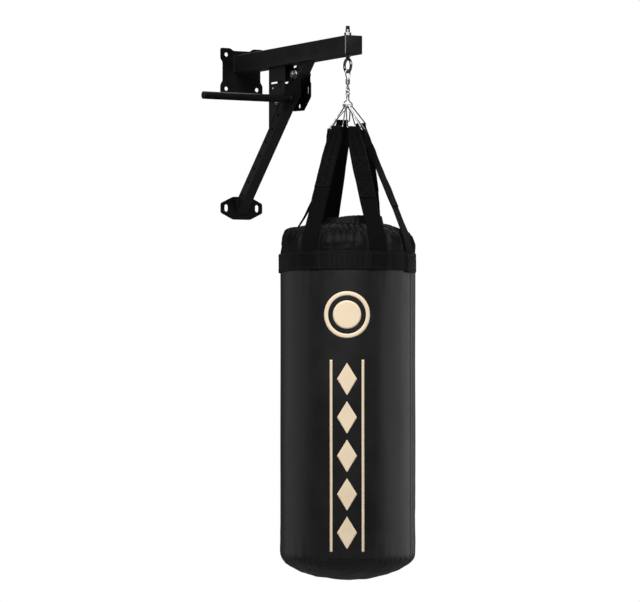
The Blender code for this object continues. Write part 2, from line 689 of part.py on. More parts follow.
def make_strap(index):
    """A ribbon along the strap's path: flat in the air, wrapped round the bag below its shoulder."""
    name = "strap_" + str(index + 1)
    ring_angle = math.radians(RING_AZIMUTHS[index])
    bag_angle = math.radians(STRAP_AZIMUTHS[index])
    ring_z = RING_BASE_HEIGHTS[index]
    work = bmesh.new()
    rows = []
    for radius, height in strap_path(index):
        share = min(max((height - STRAP_SHOULDER_Z) / (ring_z - STRAP_SHOULDER_Z), 0), 1)
        angle = bag_angle + (ring_angle - bag_angle) * share
        wrapped = min(max((STRAP_SHOULDER_Z - height) / STRAP_WRAP_DROP, 0), 1)
        out = Vector((math.cos(angle), math.sin(angle), 0))
        side = Vector((-out.y, out.x, 0))
        spread = min(max((ring_z - height) / STRAP_SPREAD_DROP, 0), 1)
        half = STRAP_LOOP_HALF + (STRAP_HALF_WIDTH - STRAP_LOOP_HALF) * spread
        row = []
        for step in range(STRAP_COLUMNS):
            across = half * (2 * step / (STRAP_COLUMNS - 1) - 1)
            sag = wrapped * (radius - math.sqrt(radius ** 2 - across ** 2))
            place = out * (radius - sag) + side * across + Vector((0, -BAG_REACH, height))
            row.append(work.verts.new(place))
        rows.append(row)
    for lower, upper in zip(rows, rows[1:]):
        for step in range(STRAP_COLUMNS - 1):
            work.faces.new((lower[step], lower[step + 1], upper[step + 1], upper[step]))
    mesh = bpy.data.meshes.new(name)
    work.to_mesh(mesh)
    work.free()
    strap = add_object(name, mesh, WEBBING)
    cloth = strap.modifiers.new("Thickness", "SOLIDIFY")
    cloth.thickness = STRAP_THICK
    cloth.offset = 0
    cloth.use_even_offset = True


def make_rings_and_straps():
    for index in range(len(STRAP_AZIMUTHS)):
        wire("triangle_ring_" + str(index + 1), triangle_ring_points(index), RING_WIRE_RADIUS, ZINC)
        make_strap(index)


# Bag

def make_bag():
    inner = [(radius - SKIN_THICK, height - SKIN_THICK / 2) for radius, height in COLLAR_PROFILE]
    inner[0] = (inner[0][0], COLLAR_BOTTOM_Z)
    hem = COLLAR_PROFILE[-1][0]
    outer = [(hem, HEM_TOP_Z)] + COLLAR_PROFILE[::-1]
    turned("top_collar", outer + inner + [(hem - SKIN_THICK, HEM_TOP_Z)], VINYL)
    turned("top_lid", LID_PROFILE, VINYL, closed=False)
    cover_top = COLLAR_BOTTOM_Z - FIT_GAP
    cover_low = BOTTOM_PANEL_TOP_Z + FIT_GAP
    sleeve("outer_cover", BAG_RADIUS, BAG_RADIUS - SKIN_THICK, cover_top, cover_low, VINYL)
    bowl = [(max(radius - SKIN_THICK, 0), height + SKIN_THICK) for radius, height in BOTTOM_PROFILE]
    bowl[0] = (BAG_RADIUS - SKIN_THICK, BOTTOM_PANEL_TOP_Z)
    turned("bottom_panel", bowl[::-1] + BOTTOM_PROFILE, VINYL, closed=False)
    sleeve("reinforcement_band", BAND_INNER_RADIUS + STRAP_THICK, BAND_INNER_RADIUS,
           BAND_TOP_Z, BAND_BOTTOM_Z, WEBBING)
    sleeve("foam_liner", BAG_RADIUS - SKIN_THICK - FIT_GAP, LINER_INNER_RADIUS,
           COLLAR_BOTTOM_Z, LINER_BOTTOM_Z, FOAM)
    turned("textile_filling", FILLING_PROFILE, TEXTILE, closed=False)


make_wall_plates()
make_arm()
make_strut()
make_hanger_plates()
make_gussets()
make_side_bar()
make_eye_bolt()
make_swivel()
make_chain()
make_rings_and_straps()
make_bag()
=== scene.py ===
import json
import math
from contextlib import contextmanager

import bmesh
import bpy
import numpy as np
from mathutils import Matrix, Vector, noise

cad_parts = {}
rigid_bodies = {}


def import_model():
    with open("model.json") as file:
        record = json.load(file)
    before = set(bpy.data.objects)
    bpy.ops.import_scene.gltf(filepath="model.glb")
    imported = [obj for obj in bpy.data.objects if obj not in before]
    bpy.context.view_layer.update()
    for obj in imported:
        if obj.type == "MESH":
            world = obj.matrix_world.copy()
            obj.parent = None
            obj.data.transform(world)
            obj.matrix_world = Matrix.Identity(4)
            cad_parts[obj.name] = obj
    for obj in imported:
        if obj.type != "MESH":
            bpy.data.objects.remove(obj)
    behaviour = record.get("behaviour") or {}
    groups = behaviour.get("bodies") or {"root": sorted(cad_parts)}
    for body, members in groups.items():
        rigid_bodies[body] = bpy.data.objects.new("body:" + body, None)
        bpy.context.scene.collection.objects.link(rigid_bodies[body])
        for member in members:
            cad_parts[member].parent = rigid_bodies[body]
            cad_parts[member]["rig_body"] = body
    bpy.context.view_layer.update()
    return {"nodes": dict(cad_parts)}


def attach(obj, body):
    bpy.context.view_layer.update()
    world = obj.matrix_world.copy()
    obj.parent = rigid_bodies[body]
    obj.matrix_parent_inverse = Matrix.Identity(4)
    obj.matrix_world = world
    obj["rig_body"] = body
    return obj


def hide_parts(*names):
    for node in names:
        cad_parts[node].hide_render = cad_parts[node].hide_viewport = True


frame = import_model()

# Sizes in metres and strap and ring azimuths in degrees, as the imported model's source has them.
# The strap spread and doubled lengths and the last three azimuths are this script's own.
BAG_REACH = 0.612
BAG_RADIUS = 0.180
COVER_TOP_Z = -0.5603
SEAM_Z = -1.3350
BAND_TOP_Z = -0.5345
BAND_BOTTOM_Z = -0.5835
WEB_THICK = 0.0015
STRAP_AZIMUTHS = [-155, -93, -53, 37, 80, 150]
STRAP_HALF_WIDTH = 0.025
STRAP_LOOP_HALF = 0.0150
STRAP_SPREAD_DROP = 0.055
STRAP_SHOULDER = (0.1672, -0.4860)
STRAP_END_Z = -0.575
STRAP_STEP = 0.0028
STRAP_DOUBLE_LENGTHS = [0.175, 0.205, 0.222, 0.190, 0.200, 0.190]
SLACK_STRAP = 5
SLACK_BOW = 0.018
SLACK_SHOULDER = [(0.1655, -0.4925), (0.1584, -0.4835), (0.1480, -0.4766), (0.1364, -0.4691)]
RING_WIRE_RADIUS = 0.00175
RING_AZIMUTHS = [-156, -99, -47, 18, 77, 142]
RING_BASE_RADII = [0.050, 0.047, 0.046, 0.051, 0.050, 0.049]
RING_BASE_HEIGHTS = [-0.198, -0.200, -0.206, -0.186, -0.176, -0.202]
VIEW_AZIMUTH = math.radians(-119.2)
SEAM_AZIMUTH = math.radians(-50.8)
PRINT_AZIMUTH = math.radians(-120.4)
AXIS = Vector((0, -BAG_REACH, 0))
PLATE_FRONT_Y = -0.0052
ARM_HALF = 0.025
ARM_AXIS_Z = 0.0216
ARM_FRONT_Y = -0.643
STRUT_HALF = 0.015
STRUT_FOOT_Z = -0.3623
HEM_RADIUS = 0.097
TURN = 2 * math.pi


# Small tools

def lerp(low, high, share):
    return low + (high - low) * share


def ease(value, low, high):
    """0 below low, 1 above high, and smooth between."""
    share = min(max((value - low) / (high - low), 0.0), 1.0)
    return share * share * (3 - 2 * share)


def angle_gap(a, b):
    return (a - b + math.pi) % TURN - math.pi


def ripple(x, y, z, scale, seed=0.0):
    """Smooth noise, about -1 to 1, with features of about scale metres."""
    return noise.noise(Vector((x / scale + seed, y / scale - 2.3 * seed, z / scale + 0.7 * seed)))


def plan(theta, radius):
    return radius * math.cos(theta), radius * math.sin(theta)


def around(theta, radius, z):
    x, y = plan(theta, radius)
    return Vector((x, y - BAG_REACH, z))


def heading(theta):
    """The level direction at an angle round the bag."""
    return Vector((math.cos(theta), math.sin(theta), 0))


def evenly_round(count):
    return [TURN * k / count for k in range(count)]


def path_lengths(line):
    """Distance from a line's first point to each of its points."""
    steps = [math.hypot(c - a, d - b) for (a, b), (c, d) in zip(line, line[1:])]
    return np.cumsum([0.0] + steps).tolist()


def spot_on(line, lengths, distance):
    """The (radius, height) a distance along a line."""
    return tuple(float(np.interp(distance, lengths, [p[axis] for p in line])) for axis in (0, 1))


def spot_at(line, share):
    """The (radius, height) at a share of the way through a line's points, whatever their spacing."""
    place = share * (len(line) - 1)
    first = min(int(place), len(line) - 2)
    (a, b), (c, d) = line[first], line[first + 1]
    return lerp(a, c, place - first), lerp(b, d, place - first)


@contextmanager
def edited(mesh):
    """The mesh as a bmesh, written back afterwards."""
    work = bmesh.new()
    work.from_mesh(mesh)
    yield work
    work.to_mesh(mesh)
    work.free()


def fill_holes(mesh, reach=math.inf):
    """Closes the open ends of a mesh that lie within reach of the bag's axis."""
    with edited(mesh) as work:
        edges = [e for e in work.edges if e.is_boundary and (e.verts[0].co - AXIS).xy.length < reach]
        bmesh.ops.holes_fill(work, edges=edges)


def stands_for(node):
    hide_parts(node)


def new_object(name, mesh, material, body, smooth=True):
    piece = bpy.data.objects.new(name, mesh)
    bpy.context.scene.collection.objects.link(piece)
    mesh.materials.clear()
    mesh.materials.append(material)
    if smooth:
        mesh.shade_smooth()
    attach(piece, body)
    return piece


def raw_mesh(name, verts, faces):
    mesh = bpy.data.meshes.new(name)
    mesh.from_pydata([tuple(v) for v in verts], [], faces)
    return mesh


def sheet_mesh(name, rows, uvs, closed=False):
    """A mesh from rows of points, each joined to the next. Closed rows meet their own start."""
    count, width = len(rows), len(rows[0])
    faces, face_uvs = [], []
    last = width if closed else width - 1
    for i in range(count - 1):
        for j in range(last):
            k = (j + 1) % width
            faces.append((i * width + j, i * width + k, (i + 1) * width + k, (i + 1) * width + j))
            u = uvs[i][j + 1][0] if j + 1 < len(uvs[i]) else uvs[i][j][0]
            w = uvs[i + 1][j + 1][0] if j + 1 < len(uvs[i + 1]) else uvs[i + 1][j][0]
            face_uvs += [uvs[i][j], (u, uvs[i][j][1]), (w, uvs[i + 1][j][1]), uvs[i + 1][j]]
    mesh = raw_mesh(name, [p for row in rows for p in row], faces)
    layer = mesh.uv_layers.new(name="UVMap")
    layer.data.foreach_set("uv", [c for uv in face_uvs for c in uv])
    mesh.update()
    return mesh


def wrapped(point, count, levels, radius, step):
    """Rows round the bag from point(angle, share), and their UVs in metres."""
    angles = evenly_round(count)
    rows = [[point(a, k / (levels - 1)) for a in angles] for k in range(levels)]
    return rows, [[(a * radius, k * step) for a in angles + [TURN]] for k in range(levels)]


def bag_sheet(name, rows, uvs, material, closed=True):
    return new_object(name, sheet_mesh(name, rows, uvs, closed), material, "bag")


def thicken(piece, thickness, offset=-1.0):
    skin = piece.modifiers.new("Skin", "SOLIDIFY")
    skin.thickness = thickness
    skin.offset = offset
    skin.use_even_offset = False


def bevel(piece, width, segments, sharp_from):
    edge = piece.modifiers.new("Edges", "BEVEL")
    edge.width = width
    edge.segments = segments
    edge.limit_method = "ANGLE"
    edge.angle_limit = math.radians(sharp_from)
    return edge


def stitch_shape():
    """One stitch of unit length along X: a short thread, fat in the middle and sunk at both ends."""
    rings = [(-0.5, 0.35, -0.9), (-0.3, 0.9, 0.0), (0.0, 1.0, 0.35), (0.3, 0.9, 0.0), (0.5, 0.35, -0.9)]
    verts = []
    for x, size, lift in rings:
        for step in range(6):
            angle = math.pi * step / 3
            verts.append((x, size * math.cos(angle), lift + size * math.sin(angle)))
    faces = [(i * 6 + j, i * 6 + (j + 1) % 6, (i + 1) * 6 + (j + 1) % 6, (i + 1) * 6 + j)
             for i in range(4) for j in range(6)]
    faces += [tuple(range(5, -1, -1)), tuple(range(24, 30))]
    return np.array(verts), faces


STITCH_VERTS, STITCH_FACES = stitch_shape()


def stitches(name, runs, pitch, length, radius=0.0005):
    """Thread along each run, a list of (point, outward normal), as separate stitches in one piece."""
    verts, faces = [], []
    for run in runs:
        travelled, due = 0.0, pitch / 2
        for (here, normal), (there, _) in zip(run, run[1:]):
            step = (there - here).length
            while step > 1e-9 and travelled + step >= due:
                along = (there - here).normalized()
                middle = here + along * (due - travelled)
                side = normal.cross(along).normalized()
                base = len(verts)
                for x, y, z in STITCH_VERTS:
                    verts.append(middle + along * (x * length) + side * (y * radius)
                                 + normal * (z * radius * 0.8))
                faces += [tuple(base + k for k in face) for face in STITCH_FACES]
                due += pitch
            travelled += step
    new_object(name, raw_mesh(name, verts, faces), THREAD, "bag")


# Materials

def shader_tree(name, colour, roughness, metallic=0.0, **sockets):
    material = bpy.data.materials.new(name)
    material.use_nodes = True
    tree = material.node_tree
    shader = tree.nodes["Principled BSDF"]
    shader.inputs["Base Color"].default_value = (*colour, 1.0)
    shader.inputs["Roughness"].default_value = roughness
    shader.inputs["Metallic"].default_value = metallic
    for socket, value in sockets.items():
        shader.inputs[socket.replace("_", " ")].default_value = value
    return material, tree, shader


def coordinates(tree, kind, scale=(1.0, 1.0, 1.0)):
    source = tree.nodes.new("ShaderNodeTexCoord")
    mapping = tree.nodes.new("ShaderNodeMapping")
    mapping.inputs["Scale"].default_value = scale
    tree.links.new(source.outputs[kind], mapping.inputs["Vector"])
    return mapping.outputs["Vector"]


def noise_value(tree, vector, scale, detail=2.0, rough=0.5):
    texture = tree.nodes.new("ShaderNodeTexNoise")
    texture.inputs["Scale"].default_value = scale
    texture.inputs["Detail"].default_value = detail
    texture.inputs["Roughness"].default_value = rough
    tree.links.new(vector, texture.inputs["Vector"])
    return texture.outputs["Fac"]


def ramp(tree, value, low, high, out_low, out_high):
    span = tree.nodes.new("ShaderNodeMapRange")
    for socket, number in zip(("From Min", "From Max", "To Min", "To Max"), (low, high, out_low, out_high)):
        span.inputs[socket].default_value = number
    tree.links.new(value, span.inputs["Value"])
    return span.outputs["Result"]


def maths(tree, operation, first, second=None):
    node = tree.nodes.new("ShaderNodeMath")
    node.operation = operation
    for socket, value in zip(node.inputs, (first, second)):
        if value is None:
            continue
        if isinstance(value, (int, float)):
            socket.default_value = value
        else:
            tree.links.new(value, socket)
    return node.outputs[0]


def tint(tree, shader, value, dark, light):
    """Base colour between two tones, by value."""
    mix = tree.nodes.new("ShaderNodeMix")
    mix.data_type = "RGBA"
    mix.inputs["A"].default_value = (*dark, 1.0)
    mix.inputs["B"].default_value = (*light, 1.0)
    tree.links.new(value, mix.inputs["Factor"])
    tree.links.new(mix.outputs["Result"], shader.inputs["Base Color"])


def roughen(tree, shader, value):
    tree.links.new(value, shader.inputs["Roughness"])


def emboss(tree, shader, layers):
    """Bumps laid on each other: (height value, strength, depth in metres)."""
    normal = None
    for value, strength, depth in layers:
        bump = tree.nodes.new("ShaderNodeBump")
        bump.inputs["Strength"].default_value = strength
        bump.inputs["Distance"].default_value = depth
        tree.links.new(value, bump.inputs["Height"])
        if normal:
            tree.links.new(normal, bump.inputs["Normal"])
        normal = bump.outputs["Normal"]
    tree.links.new(normal, shader.inputs["Normal"])


def separate_uv(tree):
    source = tree.nodes.new("ShaderNodeTexCoord")
    split = tree.nodes.new("ShaderNodeSeparateXYZ")
    tree.links.new(source.outputs["UV"], split.inputs["Vector"])
    return split.outputs["X"], split.outputs["Y"], source.outputs["UV"]


def powder_coat(name, dark, light, gloss):
    """Satin powder coat: orange peel, cloudy sheen, and scuffs that run along the steel."""
    material, tree, shader = shader_tree(name, light, 0.42, Specular_IOR_Level=gloss)
    place = coordinates(tree, "Object")
    orange_peel = noise_value(tree, place, 620.0, 2.0)
    mottled = noise_value(tree, place, 16.0, 4.0, 0.6)
    scuffs = noise_value(tree, coordinates(tree, "Object", (1.0, 0.16, 1.0)), 95.0, 3.0, 0.7)
    tint(tree, shader, ramp(tree, mottled, 0.35, 0.7, 0.0, 1.0), dark, light)
    rough = maths(tree, "ADD", ramp(tree, mottled, 0.3, 0.7, 0.38, 0.50),
                  ramp(tree, scuffs, 0.62, 0.75, 0.0, 0.14))
    roughen(tree, shader, rough)
    emboss(tree, shader, [(orange_peel, 0.30, 0.00035), (mottled, 0.10, 0.0006)])
    return material


def plated(name, dark, light, low_rough, high_rough):
    material, tree, shader = shader_tree(name, light, low_rough, 1.0)
    place = coordinates(tree, "Object")
    cloud = noise_value(tree, place, 130.0, 4.0, 0.6)
    fine = noise_value(tree, place, 1500.0, 2.0)
    tint(tree, shader, ramp(tree, cloud, 0.3, 0.72, 0.0, 1.0), dark, light)
    roughen(tree, shader, ramp(tree, cloud, 0.3, 0.75, high_rough, low_rough))
    emboss(tree, shader, [(fine, 0.22, 0.0002), (cloud, 0.12, 0.0005)])
    return material


def moulded_plastic():
    material, tree, shader = shader_tree(
        "moulded_plastic", (0.006, 0.006, 0.006), 0.5, Specular_IOR_Level=0.25)
    place = coordinates(tree, "Object")
    grain = noise_value(tree, place, 900.0, 2.0)
    cloud = noise_value(tree, place, 40.0, 3.0)
    tint(tree, shader, cloud, (0.0040, 0.0040, 0.0038), (0.0085, 0.0085, 0.0078))
    roughen(tree, shader, ramp(tree, cloud, 0.3, 0.7, 0.44, 0.58))
    emboss(tree, shader, [(grain, 0.35, 0.0003)])
    return material


def vinyl(name, dark, light, low_rough, high_rough, crease, gloss):
    """Coated vinyl: a fine pebbled grain, soft creases, and gloss that varies with handling."""
    material, tree, shader = shader_tree(name, light, low_rough, Specular_IOR_Level=gloss)
    place = coordinates(tree, "Object")
    cells = tree.nodes.new("ShaderNodeTexVoronoi")
    cells.feature = "SMOOTH_F1"
    cells.inputs["Scale"].default_value = 560.0
    tree.links.new(place, cells.inputs["Vector"])
    pebble = cells.outputs["Distance"]
    cloud = noise_value(tree, place, 11.0, 4.0, 0.6)
    folds = noise_value(tree, coordinates(tree, "Object", (1.0, 1.0, 0.3)), 48.0, 4.0, 0.65)
    tint(tree, shader, ramp(tree, cloud, 0.3, 0.7, 0.0, 1.0), dark, light)
    gloss = maths(tree, "ADD", ramp(tree, cloud, 0.3, 0.72, low_rough, high_rough),
                  ramp(tree, pebble, 0.2, 0.7, 0.0, 0.05))
    roughen(tree, shader, gloss)
    emboss(tree, shader, [(pebble, 0.16, 0.0004), (folds, crease, 0.0014)])
    return material


def webbing(name, dark, light, rough, gloss):
    """Ribbed nylon webbing. U runs across the tape and V along it, both in metres."""
    warp_pitch, weft_pitch = 0.0022, 0.0019
    material, tree, shader = shader_tree(
        name, light, rough, Sheen_Weight=0.02, Sheen_Roughness=0.5, Specular_IOR_Level=gloss)
    across, along, uv = separate_uv(tree)
    warp = maths(tree, "SINE", maths(tree, "MULTIPLY", across, TURN / warp_pitch))
    phase = maths(tree, "MULTIPLY", warp, 0.9)
    rise = maths(tree, "MULTIPLY", along, TURN / weft_pitch)
    weft = maths(tree, "SINE", maths(tree, "ADD", rise, phase))
    weave = maths(tree, "ADD", maths(tree, "MULTIPLY", warp, 0.5), maths(tree, "MULTIPLY", weft, 0.5))
    fibres = noise_value(tree, uv, 1700.0, 2.0)
    cloud = noise_value(tree, coordinates(tree, "Object"), 30.0, 4.0, 0.65)
    # Painted shade: the weave's grooves are darkened in the colour; the cloud adds lint and wear tone.
    shade = maths(tree, "MULTIPLY", ramp(tree, weave, -1.0, 1.0, 0.25, 1.0),
                  ramp(tree, cloud, 0.3, 0.7, 0.45, 1.0))
    tint(tree, shader, shade, dark, light)
    roughen(tree, shader, ramp(tree, cloud, 0.3, 0.7, rough - 0.08, rough + 0.08))
    emboss(tree, shader, [(weave, 0.55, 0.0006), (fibres, 0.35, 0.0002), (cloud, 0.2, 0.0015)])
    return material


def thread():
    material, tree, shader = shader_tree(
        "bonded_thread", (0.010, 0.010, 0.011), 0.7, Sheen_Weight=0.03, Specular_IOR_Level=0.2)
    twist = noise_value(tree, coordinates(tree, "Object", (1.0, 1.0, 2.0)), 1400.0, 2.0)
    tint(tree, shader, twist, (0.004, 0.004, 0.0045), (0.016, 0.016, 0.0165))
    emboss(tree, shader, [(twist, 0.4, 0.0002)])
    return material


def printed_ink():
    """Screen-printed cream ink, a little worn and thin where the vinyl's grain shows."""
    material, tree, shader = shader_tree("cream_screen_print", (0.93, 0.76, 0.54), 0.55)
    place = coordinates(tree, "Object")
    cloud = noise_value(tree, place, 24.0, 4.0, 0.6)
    speck = noise_value(tree, place, 420.0, 3.0, 0.7)
    worn = maths(tree, "MULTIPLY", ramp(tree, speck, 0.24, 0.36, 0.72, 1.0),
                 ramp(tree, cloud, 0.25, 0.6, 0.9, 1.0))
    tint(tree, shader, worn, (0.52, 0.41, 0.28), (0.92, 0.745, 0.53))
    roughen(tree, shader, ramp(tree, cloud, 0.3, 0.7, 0.48, 0.62))
    emboss(tree, shader, [(speck, 0.2, 0.0003)])
    return material


def worn_coat():
    """A painted highlight: pale, streaked steel tones for the arm's front left corner, where its rounded edge
    catches the light.
    """
    material, tree, shader = shader_tree("painted_corner_highlight", (0.40, 0.39, 0.37), 0.5)
    highlight_streak = noise_value(tree, coordinates(tree, "Object", (1.0, 1.0, 0.2)), 900.0, 3.0, 0.7)
    tint(tree, shader, ramp(tree, highlight_streak, 0.3, 0.6, 0.0, 1.0), (0.10, 0.10, 0.095), (0.62, 0.61, 0.58))
    roughen(tree, shader, ramp(tree, highlight_streak, 0.3, 0.7, 0.40, 0.60))
    emboss(tree, shader, [(highlight_streak, 0.3, 0.0002)])
    return material


def soft_mass(name, dark, light, scale):
    material, tree, shader = shader_tree(name, light, 0.95, Specular_IOR_Level=0.2, Sheen_Weight=0.2)
    place = coordinates(tree, "Object")
    scraps = tree.nodes.new("ShaderNodeTexVoronoi")
    scraps.inputs["Scale"].default_value = scale
    tree.links.new(place, scraps.inputs["Vector"])
    fine = noise_value(tree, place, scale * 9, 3.0)
    tint(tree, shader, maths(tree, "MULTIPLY", scraps.outputs["Distance"], 1.5), dark, light)
    emboss(tree, shader, [(scraps.outputs["Distance"], 0.5, 0.004), (fine, 0.5, 0.001)])
    return material


COAT = powder_coat("powder_coat_arm", (0.0055, 0.0058, 0.0055), (0.0100, 0.0104, 0.0098), 0.32)
# A darker, less glossy copy of the arm's black powder coat: painted shade for the wall plates, gussets, side
# bar and its flange, and the weld beads.
SHADED_PLATE_COAT = powder_coat("powder_coat_painted_shade", (0.0010, 0.0010, 0.0010), (0.0028, 0.0028, 0.0027), 0.16)
ZINC = plated("bright_zinc_plate", (0.30, 0.30, 0.295), (0.60, 0.60, 0.585), 0.26, 0.42)
DARK_STEEL = plated("dark_steel_plate", (0.09, 0.09, 0.08), (0.20, 0.20, 0.185), 0.26, 0.42)
PLASTIC = moulded_plastic()
COVER_VINYL = vinyl("cover_vinyl", (0.0048, 0.0048, 0.0052), (0.0072, 0.0072, 0.0076), 0.34, 0.42, 0.12, 0.5)
COLLAR_VINYL = vinyl("collar_vinyl", (0.0035, 0.0035, 0.004), (0.0075, 0.0075, 0.008), 0.44, 0.58, 0.6, 0.07)
WEBBING = webbing("strap_webbing", (0.0004, 0.0004, 0.0005), (0.0034, 0.0034, 0.0036), 0.78, 0.06)
BAND_WEBBING = webbing("band_webbing", (0.0005, 0.0005, 0.0006), (0.0026, 0.0026, 0.0028), 0.56, 0.11)
THREAD = thread()
# Pale streaked colour for the strip on the arm's front left corner: a painted highlight.
CORNER_HIGHLIGHT = worn_coat()
INK = printed_ink()
FOAM = soft_mass("open_cell_foam", (0.20, 0.20, 0.21), (0.36, 0.36, 0.37), 420.0)
TEXTILE = soft_mass("packed_scraps", (0.12, 0.11, 0.10), (0.38, 0.34, 0.30), 60.0)


# Bracket and hardware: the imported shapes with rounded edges, finer wires and weld beads

MERGE_DISTANCE = 0.000004
FLAT_ANGLE = math.radians(1.2)


def finished(node, mesh, material):
    """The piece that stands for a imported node, on that node's body."""
    piece = new_object(node + "_finished", mesh, material, frame["nodes"][node]["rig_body"])
    stands_for(node)
    return piece


def rounded(node, material, width):
    """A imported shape, its flat triangles joined and its edges rounded."""
    mesh = frame["nodes"][node].data.copy()
    with edited(mesh) as work:
        bmesh.ops.remove_doubles(work, verts=work.verts, dist=MERGE_DISTANCE)
        bmesh.ops.dissolve_limit(work, angle_limit=FLAT_ANGLE, verts=work.verts, edges=work.edges)
    mesh.name = node + "_shape"
    piece = finished(node, mesh, material)
    mesh.set_sharp_from_angle(angle=math.radians(35))
    bevel(piece, width, 2, 40).harden_normals = True


def fine_wire(node, material, grow):
    """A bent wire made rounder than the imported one, kept at its thickness."""
    mesh = frame["nodes"][node].data.copy()
    with edited(mesh) as work:
        bmesh.ops.remove_doubles(work, verts=work.verts, dist=MERGE_DISTANCE)
        bmesh.ops.join_triangles(work, faces=work.faces, angle_face_threshold=math.radians(50),
                                 angle_shape_threshold=math.radians(60))
        work.normal_update()
        for vert in work.verts:
            vert.co += vert.normal * grow
    finer = finished(node, mesh, material).modifiers.new("Finer", "SUBSURF")
    finer.levels = 2
    finer.render_levels = 2


def weld_bead(name, points, radius=0.0028, pitch=0.0034):
    """A rippled fillet along a line of points."""
    path = [Vector(p) for p in points]
    dense = []
    for start, end in zip(path, path[1:]):
        count = max(int((end - start).length / (pitch / 5)), 1)
        dense += [start.lerp(end, step / count) for step in range(count)]
    dense.append(path[-1])
    rows, sides, travelled = [], 8, 0.0
    for index, place in enumerate(dense):
        ahead = dense[min(index + 1, len(dense) - 1)]
        behind = dense[max(index - 1, 0)]
        along = (ahead - behind).normalized()
        travelled += (place - behind).length
        helper = Vector((0.31, 0.52, 0.79))
        first = along.cross(helper).normalized()
        second = along.cross(first)
        swell = 0.80 + 0.20 * abs(math.sin(math.pi * travelled / pitch))
        swell *= 1 + 0.10 * ripple(place.x, place.y, place.z, 0.006, 3.0)
        ends = min(index, len(dense) - 1 - index)
        swell *= min(0.25 + ends * 0.22, 1.0)
        rows.append([place + (first * math.cos(a) + second * math.sin(a)) * radius * swell
                     for a in evenly_round(sides)])
    uvs = [[(k * 0.001, i * 0.001) for k in range(sides)] for i in range(len(rows))]
    mesh = sheet_mesh(name, rows, uvs, closed=True)
    fill_holes(mesh)
    # The weld beads take the darker copy of the powder coat: painted shade.
    new_object(name, mesh, SHADED_PLATE_COAT, "bracket")


BRACKET_FINISHES = (
    (COAT, "black_powder_coat", {
        "arm_tube": 0.0004, "strut_tube": 0.0016, "hanger_plate_left": 0.0005, "hanger_plate_right": 0.0005}),
    # Painted shade: these parts take the darker copy of the same black powder coat.
    (SHADED_PLATE_COAT, "black_powder_coat", {
        "upper_wall_plate": 0.0009, "lower_wall_plate": 0.0009, "gusset_plate_left": 0.0006,
        "gusset_plate_right": 0.0006, "side_bar": 0.0006, "side_bar_flange": 0.0007}),
    (PLASTIC, "black_plastic", {"arm_end_cap": 0.0005, "side_bar_plug": 0.0010, "thread_cap": 0.0004}),
    (ZINC, "zinc_plated_steel", {
        "hanger_bolt": 0.0006, "hanger_nut": 0.0006, "pivot_bolt": 0.0008, "pivot_nut": 0.0008,
        "pivot_washer": 0.0003, "eye_collar": 0.0005, "eye_washer": 0.0003, "eye_nut": 0.0007,
        "thread_stem": 0.0004, "swivel_barrel": 0.0004}))


def finish_bracket():
    for material, slot, edge_widths in BRACKET_FINISHES:
        for node, width in edge_widths.items():
            rounded(node, material, width)


def weld_round_tube(name, half, low, high, radius):
    """A bead round a square tube where it meets its wall plate."""
    corners = [(-half, low), (-half, high), (half, high), (half, low), (-half, low)]
    weld_bead(name, [(x, PLATE_FRONT_Y, z) for x, z in corners], radius)


def make_welds():
    """Beads round the tubes' ends, down the hanger and gusset plates, and round the side bar's foot."""
    near, far, end = 0.197, 0.284, 0.330
    weld_round_tube("arm_weld_sides", ARM_HALF, ARM_AXIS_Z - ARM_HALF, ARM_AXIS_Z + ARM_HALF, 0.0024)
    weld_round_tube("strut_foot_weld", STRUT_HALF, STRUT_FOOT_Z - 2 * STRUT_HALF * math.sqrt(2),
                    STRUT_FOOT_Z, 0.0022)
    for sign, side in ((-1, "left"), (1, "right")):
        x = sign * STRUT_HALF
        for name, across, start, finish, low, high in (
                ("hanger_top_weld_", x, near, far, -0.0036, -0.0036),
                ("hanger_foot_weld_", x, near, far, near - 0.3674, far - 0.3674),
                ("gusset_weld_", x * 1.02, far, end, far - 0.3700, end - 0.3700)):
            weld_bead(name + side, [(across, -start, low), (across, -finish, high)], 0.0018, 0.0028)
    foot = Vector((-0.0226, -0.327, -0.1005))
    ring = [foot + 0.0108 * Vector((0, math.cos(a), math.sin(a))) for a in evenly_round(32) + [TURN]]
    weld_bead("side_bar_weld", ring, 0.0016, 0.0026)


def worn_edge():
    """A pale strip along the arm's front left corner: a painted highlight where the rounded edge catches the
    light.
    """
    stand_off = 0.00008
    x, y = -ARM_HALF - stand_off, ARM_FRONT_Y - stand_off
    rows, uvs = [], []
    for z in np.linspace(-0.0025, 0.0458, 60):
        side = 0.0010 + 0.0004 * ripple(0.0, 0.0, z, 0.006, 51.0)
        face = 0.0009 + 0.0004 * ripple(0.0, 0.0, z, 0.008, 52.0)
        rows.append([Vector((x, y + side, z)), Vector((x, y, z)), Vector((x + face, y, z))])
        uvs.append([(0.0, z), (side, z), (side + face, z)])
    # The strip's pale colour is a painted highlight on the corner, not the coat's own colour.
    mesh = sheet_mesh("arm_corner_highlight_strip", rows, uvs)
    piece = new_object("arm_corner_highlight_strip", mesh, CORNER_HIGHLIGHT, "bracket", smooth=False)
    thicken(piece, 0.00005, 0.0)


def finish_hardware():
    for index in range(1, 7):
        fine_wire("triangle_ring_" + str(index), ZINC, 0.00017)
    for node in ("chain_link_upper", "chain_link_lower", "swivel_upper_eye"):
        fine_wire(node, ZINC, 0.00016)
    fine_wire("master_link", ZINC, 0.00018)
    rounded("swivel_lower_eye", ZINC, 0.0002)
    rounded("eye_bolt", DARK_STEEL, 0.0002)


# Straps

